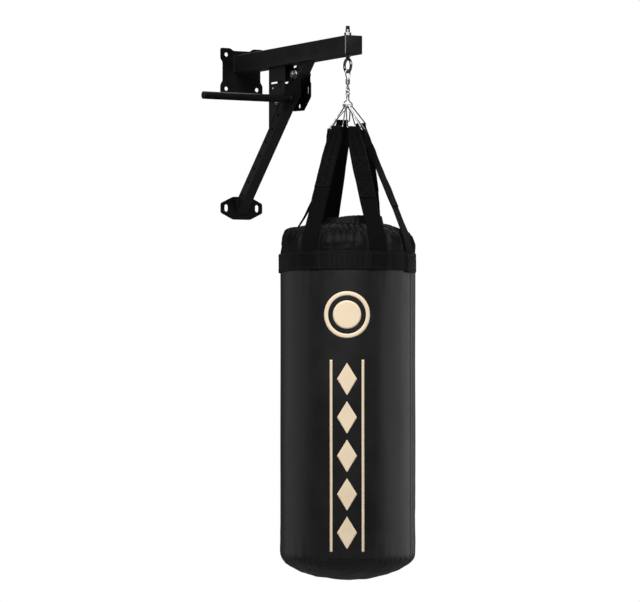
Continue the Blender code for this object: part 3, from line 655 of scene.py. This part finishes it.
def strap_line(index):
    """The strap's inner layer as (radius, height), from under the band up over the ring, and the line
    its doubled layer follows down again."""
    lift = 0.0014
    side = BAG_RADIUS + lift
    path = [(side, STRAP_END_Z), (side, -0.5600), (0.1785 + lift, -0.5400), (0.1752 + lift, -0.5200),
            (0.1706 + lift, -0.5020)]
    slack = index == SLACK_STRAP
    path += SLACK_SHOULDER if slack else [STRAP_SHOULDER]
    bow = SLACK_BOW if slack else 0.0
    ring = Vector((RING_BASE_RADII[index], RING_BASE_HEIGHTS[index]))
    shoulder = Vector(path[-1])
    down = (shoulder - ring).normalized()
    outward = Vector((-down.y, down.x))
    reach = RING_WIRE_RADIUS + 0.0017
    inner_top = ring - outward * reach
    run = inner_top - shoulder
    for step in range(1, 24):
        share = step / 24
        path.append(tuple(shoulder + run * share - outward * (4 * bow * share * (1 - share))))
    for step in range(11):
        angle = math.pi * step / 10
        path.append(tuple(ring + (-outward * math.cos(angle) - down * math.sin(angle)) * reach))
    doubled = []
    length = STRAP_DOUBLE_LENGTHS[index]
    count = int(length / STRAP_STEP)
    for step in range(1, count + 1):
        distance = length * step / count
        share = distance / run.length
        offset = lerp(2 * reach, WEB_THICK + 0.0005, ease(distance, 0.0, 0.028))
        offset -= 4 * bow * share * (1 - share)
        doubled.append(inner_top - run * share + outward * offset)
    return path, doubled


STRAP_FACE = [(-0.5900, 0.1805), (-0.5600, 0.1805), (-0.5400, 0.1792), (-0.5200, 0.1758), (-0.5020, 0.1712),
              (-0.4860, 0.1664), (-0.4600, 0.1556), (-0.4300, 0.1434)]


def strap_radius_at(height):
    """Radius of the strap's inner face where it lies on the collar, for heights below the rings."""
    return float(np.interp(height, [p[0] for p in STRAP_FACE], [p[1] for p in STRAP_FACE]))


def even_path(points, step):
    """Points at even steps along a path, and their distances along it."""
    lengths = path_lengths(points)
    wanted = np.linspace(0, lengths[-1], max(int(lengths[-1] / step), 8) + 1)
    return [Vector(spot_on(points, lengths, distance)) for distance in wanted], list(wanted)


def strap_frame(index, height):
    """Outward and sideways directions of the strap at a height."""
    ring_z = RING_BASE_HEIGHTS[index]
    share = min(max((height - STRAP_SHOULDER[1]) / (ring_z - STRAP_SHOULDER[1]), 0), 1)
    bag_angle, ring_angle = math.radians(STRAP_AZIMUTHS[index]), math.radians(RING_AZIMUTHS[index])
    angle = bag_angle + (ring_angle - bag_angle) * share
    out = heading(angle)
    return out, Vector((-out.y, out.x, 0))


def strap_point(index, spot, normal2, across_share):
    """A point of the strap's cloth: bunched into folds near its ring, flat and wrapped on the bag."""
    radius, height = spot
    out, side = strap_frame(index, height)
    ring_z = RING_BASE_HEIGHTS[index]
    drop = ring_z - height
    spread = min(max(drop / STRAP_SPREAD_DROP, 0), 1)
    half = lerp(STRAP_LOOP_HALF, STRAP_HALF_WIDTH, spread * spread * (3 - 2 * spread))
    fold = 0.0002 + 0.0040 * ease(drop, 0.002, 0.022) * (1 - ease(drop, 0.045, 0.130))
    fold += 0.0005 * ease(drop, 0.10, 0.14) * (1 - ease(drop, 0.24, 0.275))
    wave = math.cos(2.6 * math.pi * across_share + 0.9 * index)
    wander = ripple(across_share * 0.02, index * 0.37, height, 0.035, 5.0 + index)
    lift = fold * wave + 0.0020 * wander * ease(drop, 0.0, 0.03) * (1 - ease(drop, 0.20, 0.27))
    across = half * across_share + 0.0010 * wander * (1 - spread)
    wrapped = min(max((STRAP_SHOULDER[1] - height) / 0.034, 0), 1)
    sag = wrapped * (radius - math.sqrt(max(radius ** 2 - across ** 2, 0)))
    normal = out * normal2.x + Vector((0, 0, normal2.y))
    return out * (radius - sag) + side * across + Vector((0, -BAG_REACH, height)) + normal * lift


def strap_cloth(index):
    """The tape from under the band, over the ring and back down its own face to its sewn end."""
    path, doubled = strap_line(index)
    inner, along = even_path(path, STRAP_STEP)
    spots = inner + doubled
    run_length = along + [along[-1] + STRAP_STEP * (k + 1) for k in range(len(doubled))]
    columns = 17
    rows, uvs = [], []
    for number, spot in enumerate(spots):
        before, after = spots[max(number - 1, 0)], spots[min(number + 1, len(spots) - 1)]
        step = (after - before).normalized()
        normal2 = Vector((step.y, -step.x))
        if number >= len(inner):
            normal2 = -normal2
        rows.append([strap_point(index, spot, normal2, 2 * k / (columns - 1) - 1) for k in range(columns)])
        uvs.append([(STRAP_HALF_WIDTH * (2 * k / (columns - 1) - 1), run_length[number])
                    for k in range(columns)])
    return rows, uvs, len(doubled)


def make_straps():
    for index in range(6):
        rows, uvs, doubled = strap_cloth(index)
        name = "strap_" + str(index + 1)
        piece = bag_sheet(name + "_cloth", rows, uvs, WEBBING, closed=False)
        thicken(piece, WEB_THICK, 0.0)
        bevel(piece, 0.0004, 1, 60)
        stands_for(name)
        sew_strap(index, rows, doubled)


def sew_strap(index, rows, outer_count):
    """Two crossed boxes of stitches on the doubled part, one near its end and one higher up."""
    outer = rows[-outer_count:]
    step = STRAP_DOUBLE_LENGTHS[index] / outer_count

    def spot(share, distance):
        row = min(max(distance / step, 0), outer_count - 1.001)
        column = (share + 1) / 2 * (len(outer[0]) - 1)
        i, j = int(row), min(int(column), len(outer[0]) - 2)
        a = outer[i][j].lerp(outer[i][j + 1], column - j)
        b = outer[i + 1][j].lerp(outer[i + 1][j + 1], column - j)
        along = (outer[i + 1][j] - outer[i][j]).normalized()
        side = (outer[i][j + 1] - outer[i][j]).normalized()
        normal = side.cross(along).normalized()
        centre = a.lerp(b, row - i)
        away = Vector((centre.x, centre.y + BAG_REACH, 0))
        if normal.dot(away) < 0:
            normal = -normal
        return centre + normal * (WEB_THICK / 2 + 0.0001), normal

    runs = []
    end = STRAP_DOUBLE_LENGTHS[index] - 0.006
    for low, high in ((end, end - 0.040), (0.122, 0.086)):
        edge = 0.84
        corners = [(-edge, low), (edge, low), (edge, high), (-edge, high), (-edge, low)]
        lines = list(zip(corners, corners[1:])) + [((-edge, low), (edge, high)), ((edge, low), (-edge, high))]
        for (a, b), (c, d) in lines:
            runs.append([spot(lerp(a, c, k / 14), lerp(b, d, k / 14)) for k in range(15)])
    stitches("strap_" + str(index + 1) + "_stitching", runs, 0.0042, 0.0033, 0.00055)


# Bag skin

def strap_share(theta, radius, extra=0.0):
    """1 under a strap and 0 well clear of it."""
    nearest = min(abs(angle_gap(theta, math.radians(a))) for a in STRAP_AZIMUTHS) * radius
    return 1 - ease(nearest, STRAP_HALF_WIDTH - 0.002 + extra, STRAP_HALF_WIDTH + 0.016 + extra)


def cover_radius(theta, z):
    """The outer cover's radius: gently uneven, drawn in by its seams, and pulled down in long soft folds."""
    x, y = plan(theta, BAG_RADIUS)
    radius = BAG_RADIUS - 0.0004
    radius += 0.0011 * ripple(x, y, z * 0.28, 0.085, 1.0)
    radius += 0.0009 * ripple(x, y, z * 0.12, 0.040, 2.0)
    near_top = 1 - ease(BAND_BOTTOM_Z - z, 0.0, 0.11)
    near_seam = 1 - ease(z - SEAM_Z, 0.0, 0.085)
    radius += 0.0007 * near_top * ripple(x, y, z * 0.10, 0.014, 4.0)
    radius += 0.0011 * near_seam * ripple(x, y, z * 0.16, 0.016, 6.0)
    radius += 0.0008 * ease(-1.08 - z, 0.0, 0.12) * ripple(x * 0.5, y * 0.5, z, 0.034, 8.0)
    radius -= 0.0009 * (1 - ease(z - SEAM_Z, 0.0, 0.012))
    along_seam = abs(angle_gap(theta, SEAM_AZIMUTH)) * BAG_RADIUS
    radius += 0.0010 * (1 - ease(along_seam, 0.0075, 0.0105))
    radius -= 0.0008 * (1 - ease(abs(along_seam - 0.0118), 0.0, 0.004))
    radius += 0.0005 * (1 - ease(along_seam, 0.012, 0.040)) * ripple(x * 0.2, y * 0.2, z, 0.012, 9.0)
    return radius


def cover_angles(count):
    """Angles round the bag, closer together at the upright seam."""
    return [SEAM_AZIMUTH + a - 0.045 * math.sin(a) for a in evenly_round(count)]


def make_cover():
    angles = cover_angles(288)
    heights = list(np.linspace(COVER_TOP_Z, -0.66, 30)) + list(np.linspace(-0.67, -1.22, 66))
    heights += list(np.linspace(-1.226, SEAM_Z + 0.0002, 44))
    rows = [[around(a, cover_radius(a, z), z) for a in angles] for z in heights]
    uvs = [[((a - angles[0]) * BAG_RADIUS, z) for a in angles + [angles[0] + TURN]] for z in heights]
    piece = bag_sheet("outer_cover_skin", rows[::-1], uvs[::-1], COVER_VINYL)
    thicken(piece, 0.0012)
    stands_for("outer_cover")
    runs = []
    for offset in (-0.0062, 0.0062):
        theta = SEAM_AZIMUTH + offset / BAG_RADIUS
        runs.append([(around(theta, cover_radius(theta, z) + 0.0001, z), heading(theta))
                     for z in np.linspace(-0.585, SEAM_Z + 0.003, 150)])
    stitches("cover_seam_stitching", runs, 0.0050, 0.0038)


COLLAR_LINE = [(0.1795, -0.5650), (0.1795, -0.5450), (0.1783, -0.5250), (0.1755, -0.5070), (0.1700, -0.4925),
               (0.1600, -0.4805), (0.1450, -0.4710), (0.1260, -0.4635), (0.1060, -0.4585), (0.0940, -0.4555)]


COLLAR_LENGTHS = path_lengths(COLLAR_LINE)
COLLAR_LENGTH = COLLAR_LENGTHS[-1]


def collar_line_at(share):
    """The collar's (radius, height) and outward direction, from 0 at the band to 1 at the hem."""
    place, reach = share * COLLAR_LENGTH, 0.004
    low, here, high = [spot_on(COLLAR_LINE, COLLAR_LENGTHS, place + step) for step in (-reach, 0.0, reach)]
    along = Vector((high[0] - low[0], high[1] - low[1])).normalized()
    return here, Vector((along.y, -along.x))


def gather_angle(theta):
    """Uneven spacing of the gathers round the hem."""
    return 41 * theta + 2.1 * math.sin(3 * theta + 0.4) + 1.3 * math.sin(7 * theta + 2.0)


def collar_point(theta, share):
    (radius, height), normal = collar_line_at(share)
    x, y = plan(theta, radius)
    gather = math.cos(gather_angle(theta) + 0.8 * ripple(x, y, height, 0.030, 11.0))
    gather = (1 - abs(gather)) * 1.6 - 0.8 if gather < 0 else gather * 0.9
    strength = 0.0004 + 0.0034 * ease(share, 0.30, 0.66) * (1 - 0.35 * ease(share, 0.90, 1.0))
    strength *= 0.80 + 0.6 * ripple(x, y, 0, 0.060, 12.0)
    strength += 0.0012 * math.exp(-((share - 0.34) / 0.05) ** 2)
    lift = strength * gather
    lift += 0.0022 * ease(share, 0.08, 0.35) * ripple(x, y, height * 0.7, 0.030, 13.0)
    lift += 0.0012 * ease(share, 0.05, 0.2) * ripple(x, y, height, 0.012, 14.0)
    clear = 1 - strap_share(theta, radius, 0.001)
    puff = clear * ease(share, 0.12, 0.42) * (1 - ease(share, 0.62, 0.95))
    lift += 0.0038 * puff * (0.9 + 0.6 * ripple(x, y, height, 0.07, 15.0))
    side = angle_gap(theta, math.radians(165))
    lump = math.exp(-(side / 0.16) ** 2) * math.exp(-((share - 0.52) / 0.14) ** 2)
    lift += 0.0085 * lump
    radius += normal.x * lift
    height += normal.y * lift
    under = 1 - clear
    limit = strap_radius_at(height) - 0.0013
    if radius > limit and under > 0:
        radius = lerp(radius, limit, min(under * 1.6, 1.0))
    return around(theta, radius, height)


def make_collar():
    levels = 64
    rows, uvs = wrapped(collar_point, 480, levels, BAG_RADIUS, COLLAR_LENGTH / (levels - 1))
    piece = bag_sheet("top_collar_cloth", rows, uvs, COLLAR_VINYL)
    thicken(piece, 0.0011)
    stands_for("top_collar")
    hem = make_hem()


HEM_LINE = [(0.0960, -0.4565), (0.0935, -0.4520), (0.0925, -0.4460), (0.0916, -0.4395), (0.0906, -0.4350),
            (0.0892, -0.4335), (0.0877, -0.4345), (0.0869, -0.4400), (0.0867, -0.4480), (0.0867, -0.4540)]


def hem_point(theta, share):
    """The hem: a folded strip standing up from the gathers, rolled over at its top."""
    radius, height = spot_at(HEM_LINE, share)
    x, y = plan(theta, HEM_RADIUS)
    pucker = math.cos(gather_angle(theta) + 0.5)
    radius += 0.0007 * pucker * (1 - 0.85 * ease(height, -0.450, -0.440))
    radius += 0.0014 * ripple(x, y, height * 0.5, 0.035, 17.0)
    height += 0.0011 * ripple(x, y, 0, 0.045, 18.0) + 0.0003 * pucker
    pressed = math.exp(-(angle_gap(theta, math.radians(-150)) / 0.5) ** 2)
    height -= 0.0075 * pressed * ease(height, -0.4540, -0.4380)
    return around(theta, radius, height)


def make_hem():
    rows, uvs = wrapped(hem_point, 320, 28, HEM_RADIUS, 0.0015)
    piece = bag_sheet("collar_hem", rows, uvs, COLLAR_VINYL)
    thicken(piece, 0.0009)
    run = [(hem_point(a, 0.22) + heading(a) * 0.0002, heading(a)) for a in evenly_round(300) + [TURN]]
    stitches("hem_stitching", [run], 0.0050, 0.0036)
    return piece


def make_lid():
    """The closing disc inside the hem: slack vinyl drawn up into short radial creases at its edge."""
    rows, uvs = [], []
    rim, middle, levels = 0.0858, 0.0008, 26
    for level in range(levels):
        radius = lerp(rim, middle, level / (levels - 1))
        row, line = [], []
        for theta in evenly_round(192):
            x, y = plan(theta, radius)
            crease = math.cos(24 * theta + 1.7 * math.sin(2 * theta)) * ease(radius, 0.045, 0.082)
            height = -0.4515 + 0.0028 * ease(rim - radius, 0.0, 0.06) + 0.0011 * crease
            height += 0.0016 * ripple(x, y, 0.0, 0.040, 21.0)
            row.append(around(theta, radius, height))
            line.append((x, y))
        rows.append(row)
        uvs.append(line + [line[0]])
    mesh = sheet_mesh("top_lid_cloth", rows, uvs, True)
    fill_holes(mesh, 0.01)
    piece = new_object("top_lid_cloth", mesh, COLLAR_VINYL, "bag")
    thicken(piece, 0.0010)
    stands_for("top_lid")


def band_radius(theta, z):
    """The band's inner face: tight on the collar, lifted over each strap."""
    x, y = plan(theta, BAG_RADIUS)
    radius = lerp(0.1806, 0.1829, strap_share(theta, BAG_RADIUS))
    radius += 0.0005 * ripple(x, y, z, 0.022, 23.0)
    edge = min(abs(z - BAND_TOP_Z), abs(z - BAND_BOTTOM_Z))
    radius -= 0.0003 * (1 - ease(abs(edge - 0.0045), 0.0, 0.0022))
    return radius


def band_point(theta, share, turn):
    """turn runs from 0 at the band's hidden end to 1 at its lapped end, which hangs a little low."""
    z = lerp(BAND_TOP_Z, BAND_BOTTOM_Z, share)
    lap = ease(turn, 0.955, 0.972)
    radius = band_radius(theta, z) + lap * (WEB_THICK + 0.0006)
    drift = 0.0012 * ripple(math.cos(theta), math.sin(theta), 0, 0.6, 24.0)
    drift += 0.0045 * math.cos(angle_gap(theta, VIEW_AZIMUTH))
    return around(theta, radius, z + drift - 0.0045 * lap)


def make_band():
    total = TURN + 0.105
    start = SEAM_AZIMUTH - 0.07
    count, levels = 520, 19
    rows, uvs = [], []
    for level in range(levels):
        share = level / (levels - 1)
        rows.append([band_point(start + total * k / count, share, k / count) for k in range(count + 1)])
        uvs.append([(share * 0.049, total * BAG_RADIUS * k / count) for k in range(count + 1)])
    piece = bag_sheet("reinforcement_band_cloth", rows[::-1], uvs[::-1], BAND_WEBBING, closed=False)
    thicken(piece, WEB_THICK, 1.0)
    bevel(piece, 0.0004, 1, 60)
    stands_for("reinforcement_band")

    def sewn_at(share, turn):
        out = heading(start + total * turn)
        return band_point(start + total * turn, share, turn) + out * (WEB_THICK + 0.0002), out

    runs = [[sewn_at(share, k / count) for k in range(count + 1)] for share in (0.09, 0.14, 0.86, 0.91)]
    runs += [[sewn_at(lerp(0.1, 0.9, k / 12), turn) for k in range(13)] for turn in (0.981, 0.994)]
    stitches("band_stitching", runs, 0.0046, 0.0035)


BOTTOM_LINE = [(0.1784, -1.3346), (0.1776, -1.3375), (0.1754, -1.3420), (0.1712, -1.3480), (0.1650, -1.3545),
               (0.1560, -1.3612), (0.1440, -1.3682), (0.1290, -1.3756), (0.1080, -1.3834), (0.0820, -1.3906),
               (0.0500, -1.3964), (0.0250, -1.3990), (0.0008, -1.4000)]


def bottom_point(theta, share):
    """The bottom panel: gathered at its seam, and settled into soft dents under the filling's weight."""
    radius, height = spot_at(BOTTOM_LINE, share)
    x, y = plan(theta, radius)
    pull = math.cos(52 * theta + 2.4 * math.sin(4 * theta) + 1.2 * math.sin(9 * theta))
    near = (1 - ease(share, 0.22, 0.55)) * ease(share, 0.0, 0.08)
    lift = 0.0007 * pull * near
    lift += 0.0024 * ripple(x, y, height, 0.038, 31.0) * ease(share, 0.05, 0.3)
    lift += 0.0012 * ripple(x, y, height, 0.013, 32.0) * ease(share, 0.05, 0.3) * (1 - ease(share, 0.6, 0.9))
    tilt = ease(share, 0.0, 0.6)
    out = heading(theta) * (1 - tilt) + Vector((0, 0, -1)) * tilt
    return around(theta, radius, height) + out.normalized() * lift


def make_bottom():
    rows, uvs = wrapped(bottom_point, 320, 72, BAG_RADIUS, 0.003)
    mesh = sheet_mesh("bottom_panel_cloth", rows[::-1], uvs[::-1], True)
    fill_holes(mesh, 0.01)
    piece = new_object("bottom_panel_cloth", mesh, COVER_VINYL, "bag")
    thicken(piece, 0.0012)
    stands_for("bottom_panel")
    sewn_z = SEAM_Z + 0.0050
    run = [(around(a, cover_radius(a, sewn_z) + 0.0001, sewn_z), heading(a))
           for a in evenly_round(420) + [TURN]]
    stitches("bottom_seam_stitching", [run], 0.0050, 0.0038)


def make_liner():
    """The foam liner: a rolled sheet with a lapped edge."""
    rows, uvs = [], []
    turns = TURN + 0.22
    for z in np.linspace(-0.562, -1.333, 40):
        row, line = [], []
        for k in range(161):
            theta = 0.4 + turns * k / 160
            lap = 0.0035 * ease(k / 160, 0.965, 0.985)
            row.append(around(theta, 0.1735 - 0.0040 * (k < 6) + lap * 0.2
                              + 0.0006 * ripple(math.cos(theta), math.sin(theta), z * 4, 0.5, 41.0), z))
            line.append((k * 0.007, z))
        rows.append(row)
        uvs.append(line)
    liner = bag_sheet("foam_liner_sheet", rows[::-1], uvs[::-1], FOAM, closed=False)
    thicken(liner, 0.0150)
    stands_for("foam_liner")


def make_filling():
    """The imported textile, closed at both ends, with its lumps."""
    outline = [(0.0010, -0.4660), (0.0500, -0.4680), (0.0900, -0.4720), (0.1250, -0.4830), (0.1450, -0.4990),
               (0.1540, -0.5200), (0.1540, -0.9000), (0.1540, -1.3480), (0.1300, -1.3620), (0.0870, -1.3780),
               (0.0010, -1.3880)]
    lengths = path_lengths(outline)
    rows, uvs = [], []
    for place in np.linspace(0, lengths[-1], 150):
        radius, height = spot_on(outline, lengths, place)
        row, line = [], []
        for theta in evenly_round(120):
            x, y = plan(theta, radius)
            lump = 0.0024 * ripple(x, y, height, 0.030, 43.0) * min(radius / 0.03, 1.0)
            row.append(around(theta, max(radius - 0.002 + lump, 0.0005), height + lump))
            line.append((theta * 0.15, height))
        rows.append(row)
        uvs.append(line + [line[0]])
    mesh = sheet_mesh("textile_filling_mass", rows[::-1], uvs[::-1], True)
    fill_holes(mesh)
    core = new_object("textile_filling_mass", mesh, TEXTILE, "bag")
    stands_for("textile_filling")


# Print: a plain ring and disc above a column of diamonds between two bars

def print_point(across, height):
    theta = PRINT_AZIMUTH + across / BAG_RADIUS
    return around(theta, cover_radius(theta, height) + 0.0004, height)


def strip_cells(verts, faces, left, right, steps):
    """Adds a strip between two lines of (across, height), divided into steps across."""
    base = len(verts)
    for (a, b), (c, d) in zip(left, right):
        for k in range(steps + 1):
            verts.append(print_point(lerp(a, c, k / steps), lerp(b, d, k / steps)))
    for i in range(len(left) - 1):
        for k in range(steps):
            first = base + i * (steps + 1) + k
            faces.append((first, first + 1, first + steps + 2, first + steps + 1))


def make_print():
    verts, faces = [], []
    centre = -0.6975
    for inner, outer, steps in ((0.0500, 0.0610, 3), (0.0, 0.0370, 8)):
        left, right = [[(radius * math.cos(a), centre + radius * math.sin(a))
                        for a in np.linspace(0, TURN, 97)] for radius in (outer, inner)]
        strip_cells(verts, faces, left, right, steps)
    top, low, bar_width = -0.8150, -1.3150, 0.0070
    for x in (-0.0455, 0.0385):
        heights = np.linspace(top, low, 160)
        strip_cells(verts, faces, [(x, z) for z in heights], [(x + bar_width, z) for z in heights], 2)
    half_width, half_height, blunt = 0.026, 0.042, 0.0002
    for number in range(5):
        middle = lerp(top, low, (number + 0.5) / 5)
        heights = np.linspace(middle + half_height, middle - half_height, 33)
        wide = [half_width * (1 - abs(z - middle) / half_height) + blunt for z in heights]
        strip_cells(verts, faces, [(-w, z) for w, z in zip(wide, heights)],
                    [(w, z) for w, z in zip(wide, heights)], 10)
    mesh = raw_mesh("front_print", verts, faces)
    with edited(mesh) as work:
        bmesh.ops.remove_doubles(work, verts=work.verts, dist=0.00001)
        bmesh.ops.recalc_face_normals(work, faces=work.faces)
        for face in work.faces:
            out = face.calc_center_median() - AXIS
            if face.normal.dot(Vector((out.x, out.y, 0))) < 0:
                face.normal_flip()
    piece = new_object("front_print", mesh, INK, "bag")
    thicken(piece, 0.0003)


finish_bracket()
make_welds()
worn_edge()
finish_hardware()
make_straps()
make_collar()
make_lid()
make_band()
make_cover()
make_bottom()
make_liner()
make_filling()
make_print()


# Stage, light and camera

def view_axes():
    """Directions from the bag towards the camera and to the picture's right."""
    toward = heading(VIEW_AZIMUTH)
    return toward, Vector((-toward.y, toward.x, 0))


def softbox(name, turn, rise, distance, height, size, power):
    """An area light at an angle round the bag from the camera, turned and raised in degrees."""
    toward, right = view_axes()
    turn, rise = math.radians(turn), math.radians(rise)
    flat = toward * math.cos(turn) + right * math.sin(turn)
    target = AXIS + Vector((0, 0, height))
    place = target + (flat * math.cos(rise) + Vector((0, 0, math.sin(rise)))) * distance
    light = bpy.data.lights.new(name, "AREA")
    light.shape = "RECTANGLE"
    light.size, light.size_y = size
    light.energy = power
    lamp = bpy.data.objects.new(name, light)
    bpy.context.scene.collection.objects.link(lamp)
    lamp.location = place
    lamp.rotation_euler = (target - place).to_track_quat("-Z", "Y").to_euler()
    lamp.visible_camera = False


def make_stage():
    """A pale floor that sends only a little light back up at the black bag."""
    material, tree, shader = shader_tree("pale_floor", (0.86, 0.86, 0.85), 0.7)
    cloud = noise_value(tree, coordinates(tree, "Object"), 3.0, 3.0)
    tint(tree, shader, cloud, (0.83, 0.83, 0.82), (0.89, 0.89, 0.88))
    seen = shader.inputs["Base Color"].links[0].from_socket
    path = tree.nodes.new("ShaderNodeLightPath")
    mix = tree.nodes.new("ShaderNodeMix")
    mix.data_type = "RGBA"
    mix.inputs["A"].default_value = (0.16, 0.16, 0.16, 1.0)
    tree.links.new(path.outputs["Is Camera Ray"], mix.inputs["Factor"])
    tree.links.new(seen, mix.inputs["B"])
    tree.links.new(mix.outputs["Result"], shader.inputs["Base Color"])
    bpy.ops.mesh.primitive_circle_add(vertices=96, radius=2.6, fill_type="NGON",
                                      location=(0, -BAG_REACH, -1.90))
    floor = bpy.context.active_object
    floor.name = "floor"
    floor.data.materials.append(material)


def make_light():
    """A white backdrop with weak light all round, a large soft key from above the camera, a fill
    from behind and a wide softbox on each side."""
    world = bpy.data.worlds.new("studio")
    bpy.context.scene.world = world
    world.use_nodes = True
    tree = world.node_tree
    around_it = tree.nodes["Background"]
    around_it.inputs["Color"].default_value = (0.055, 0.055, 0.055, 1.0)
    around_it.inputs["Strength"].default_value = 1.0
    backdrop = tree.nodes.new("ShaderNodeBackground")
    backdrop.inputs["Color"].default_value = (1.0, 1.0, 1.0, 1.0)
    path = tree.nodes.new("ShaderNodeLightPath")
    mix = tree.nodes.new("ShaderNodeMixShader")
    tree.links.new(path.outputs["Is Camera Ray"], mix.inputs["Fac"])
    tree.links.new(around_it.outputs["Background"], mix.inputs[1])
    tree.links.new(backdrop.outputs["Background"], mix.inputs[2])
    tree.links.new(mix.outputs["Shader"], tree.nodes["World Output"].inputs["Surface"])
    softbox("key", -8, 45, 3.6, -0.75, (3.2, 2.4), 185)
    softbox("back_fill", 170, 50, 3.6, -0.75, (3.2, 2.0), 45)
    softbox("left_strip", -100, 0, 1.7, -0.98, (2.0, 1.6), 3.9)
    softbox("right_strip", 100, 0, 1.7, -0.98, (3.0, 1.6), 12.0)


def make_camera():
    toward, right = view_axes()
    distance, height, aim_height = 8.0, -0.79, -0.659
    middle = AXIS - right * 0.0740
    aim = middle + Vector((0, 0, aim_height))
    camera = bpy.data.cameras.new("camera")
    camera.sensor_width = 36
    camera.lens = 169
    camera.clip_end = 60
    holder = bpy.data.objects.new("camera", camera)
    bpy.context.scene.collection.objects.link(holder)
    holder.location = middle + toward * distance + Vector((0, 0, height))
    holder.rotation_euler = (aim - holder.location).to_track_quat("-Z", "Y").to_euler()
    bpy.context.scene.camera = holder


make_stage()
make_light()
make_camera()
bpy.context.scene.view_settings.view_transform = "Standard"
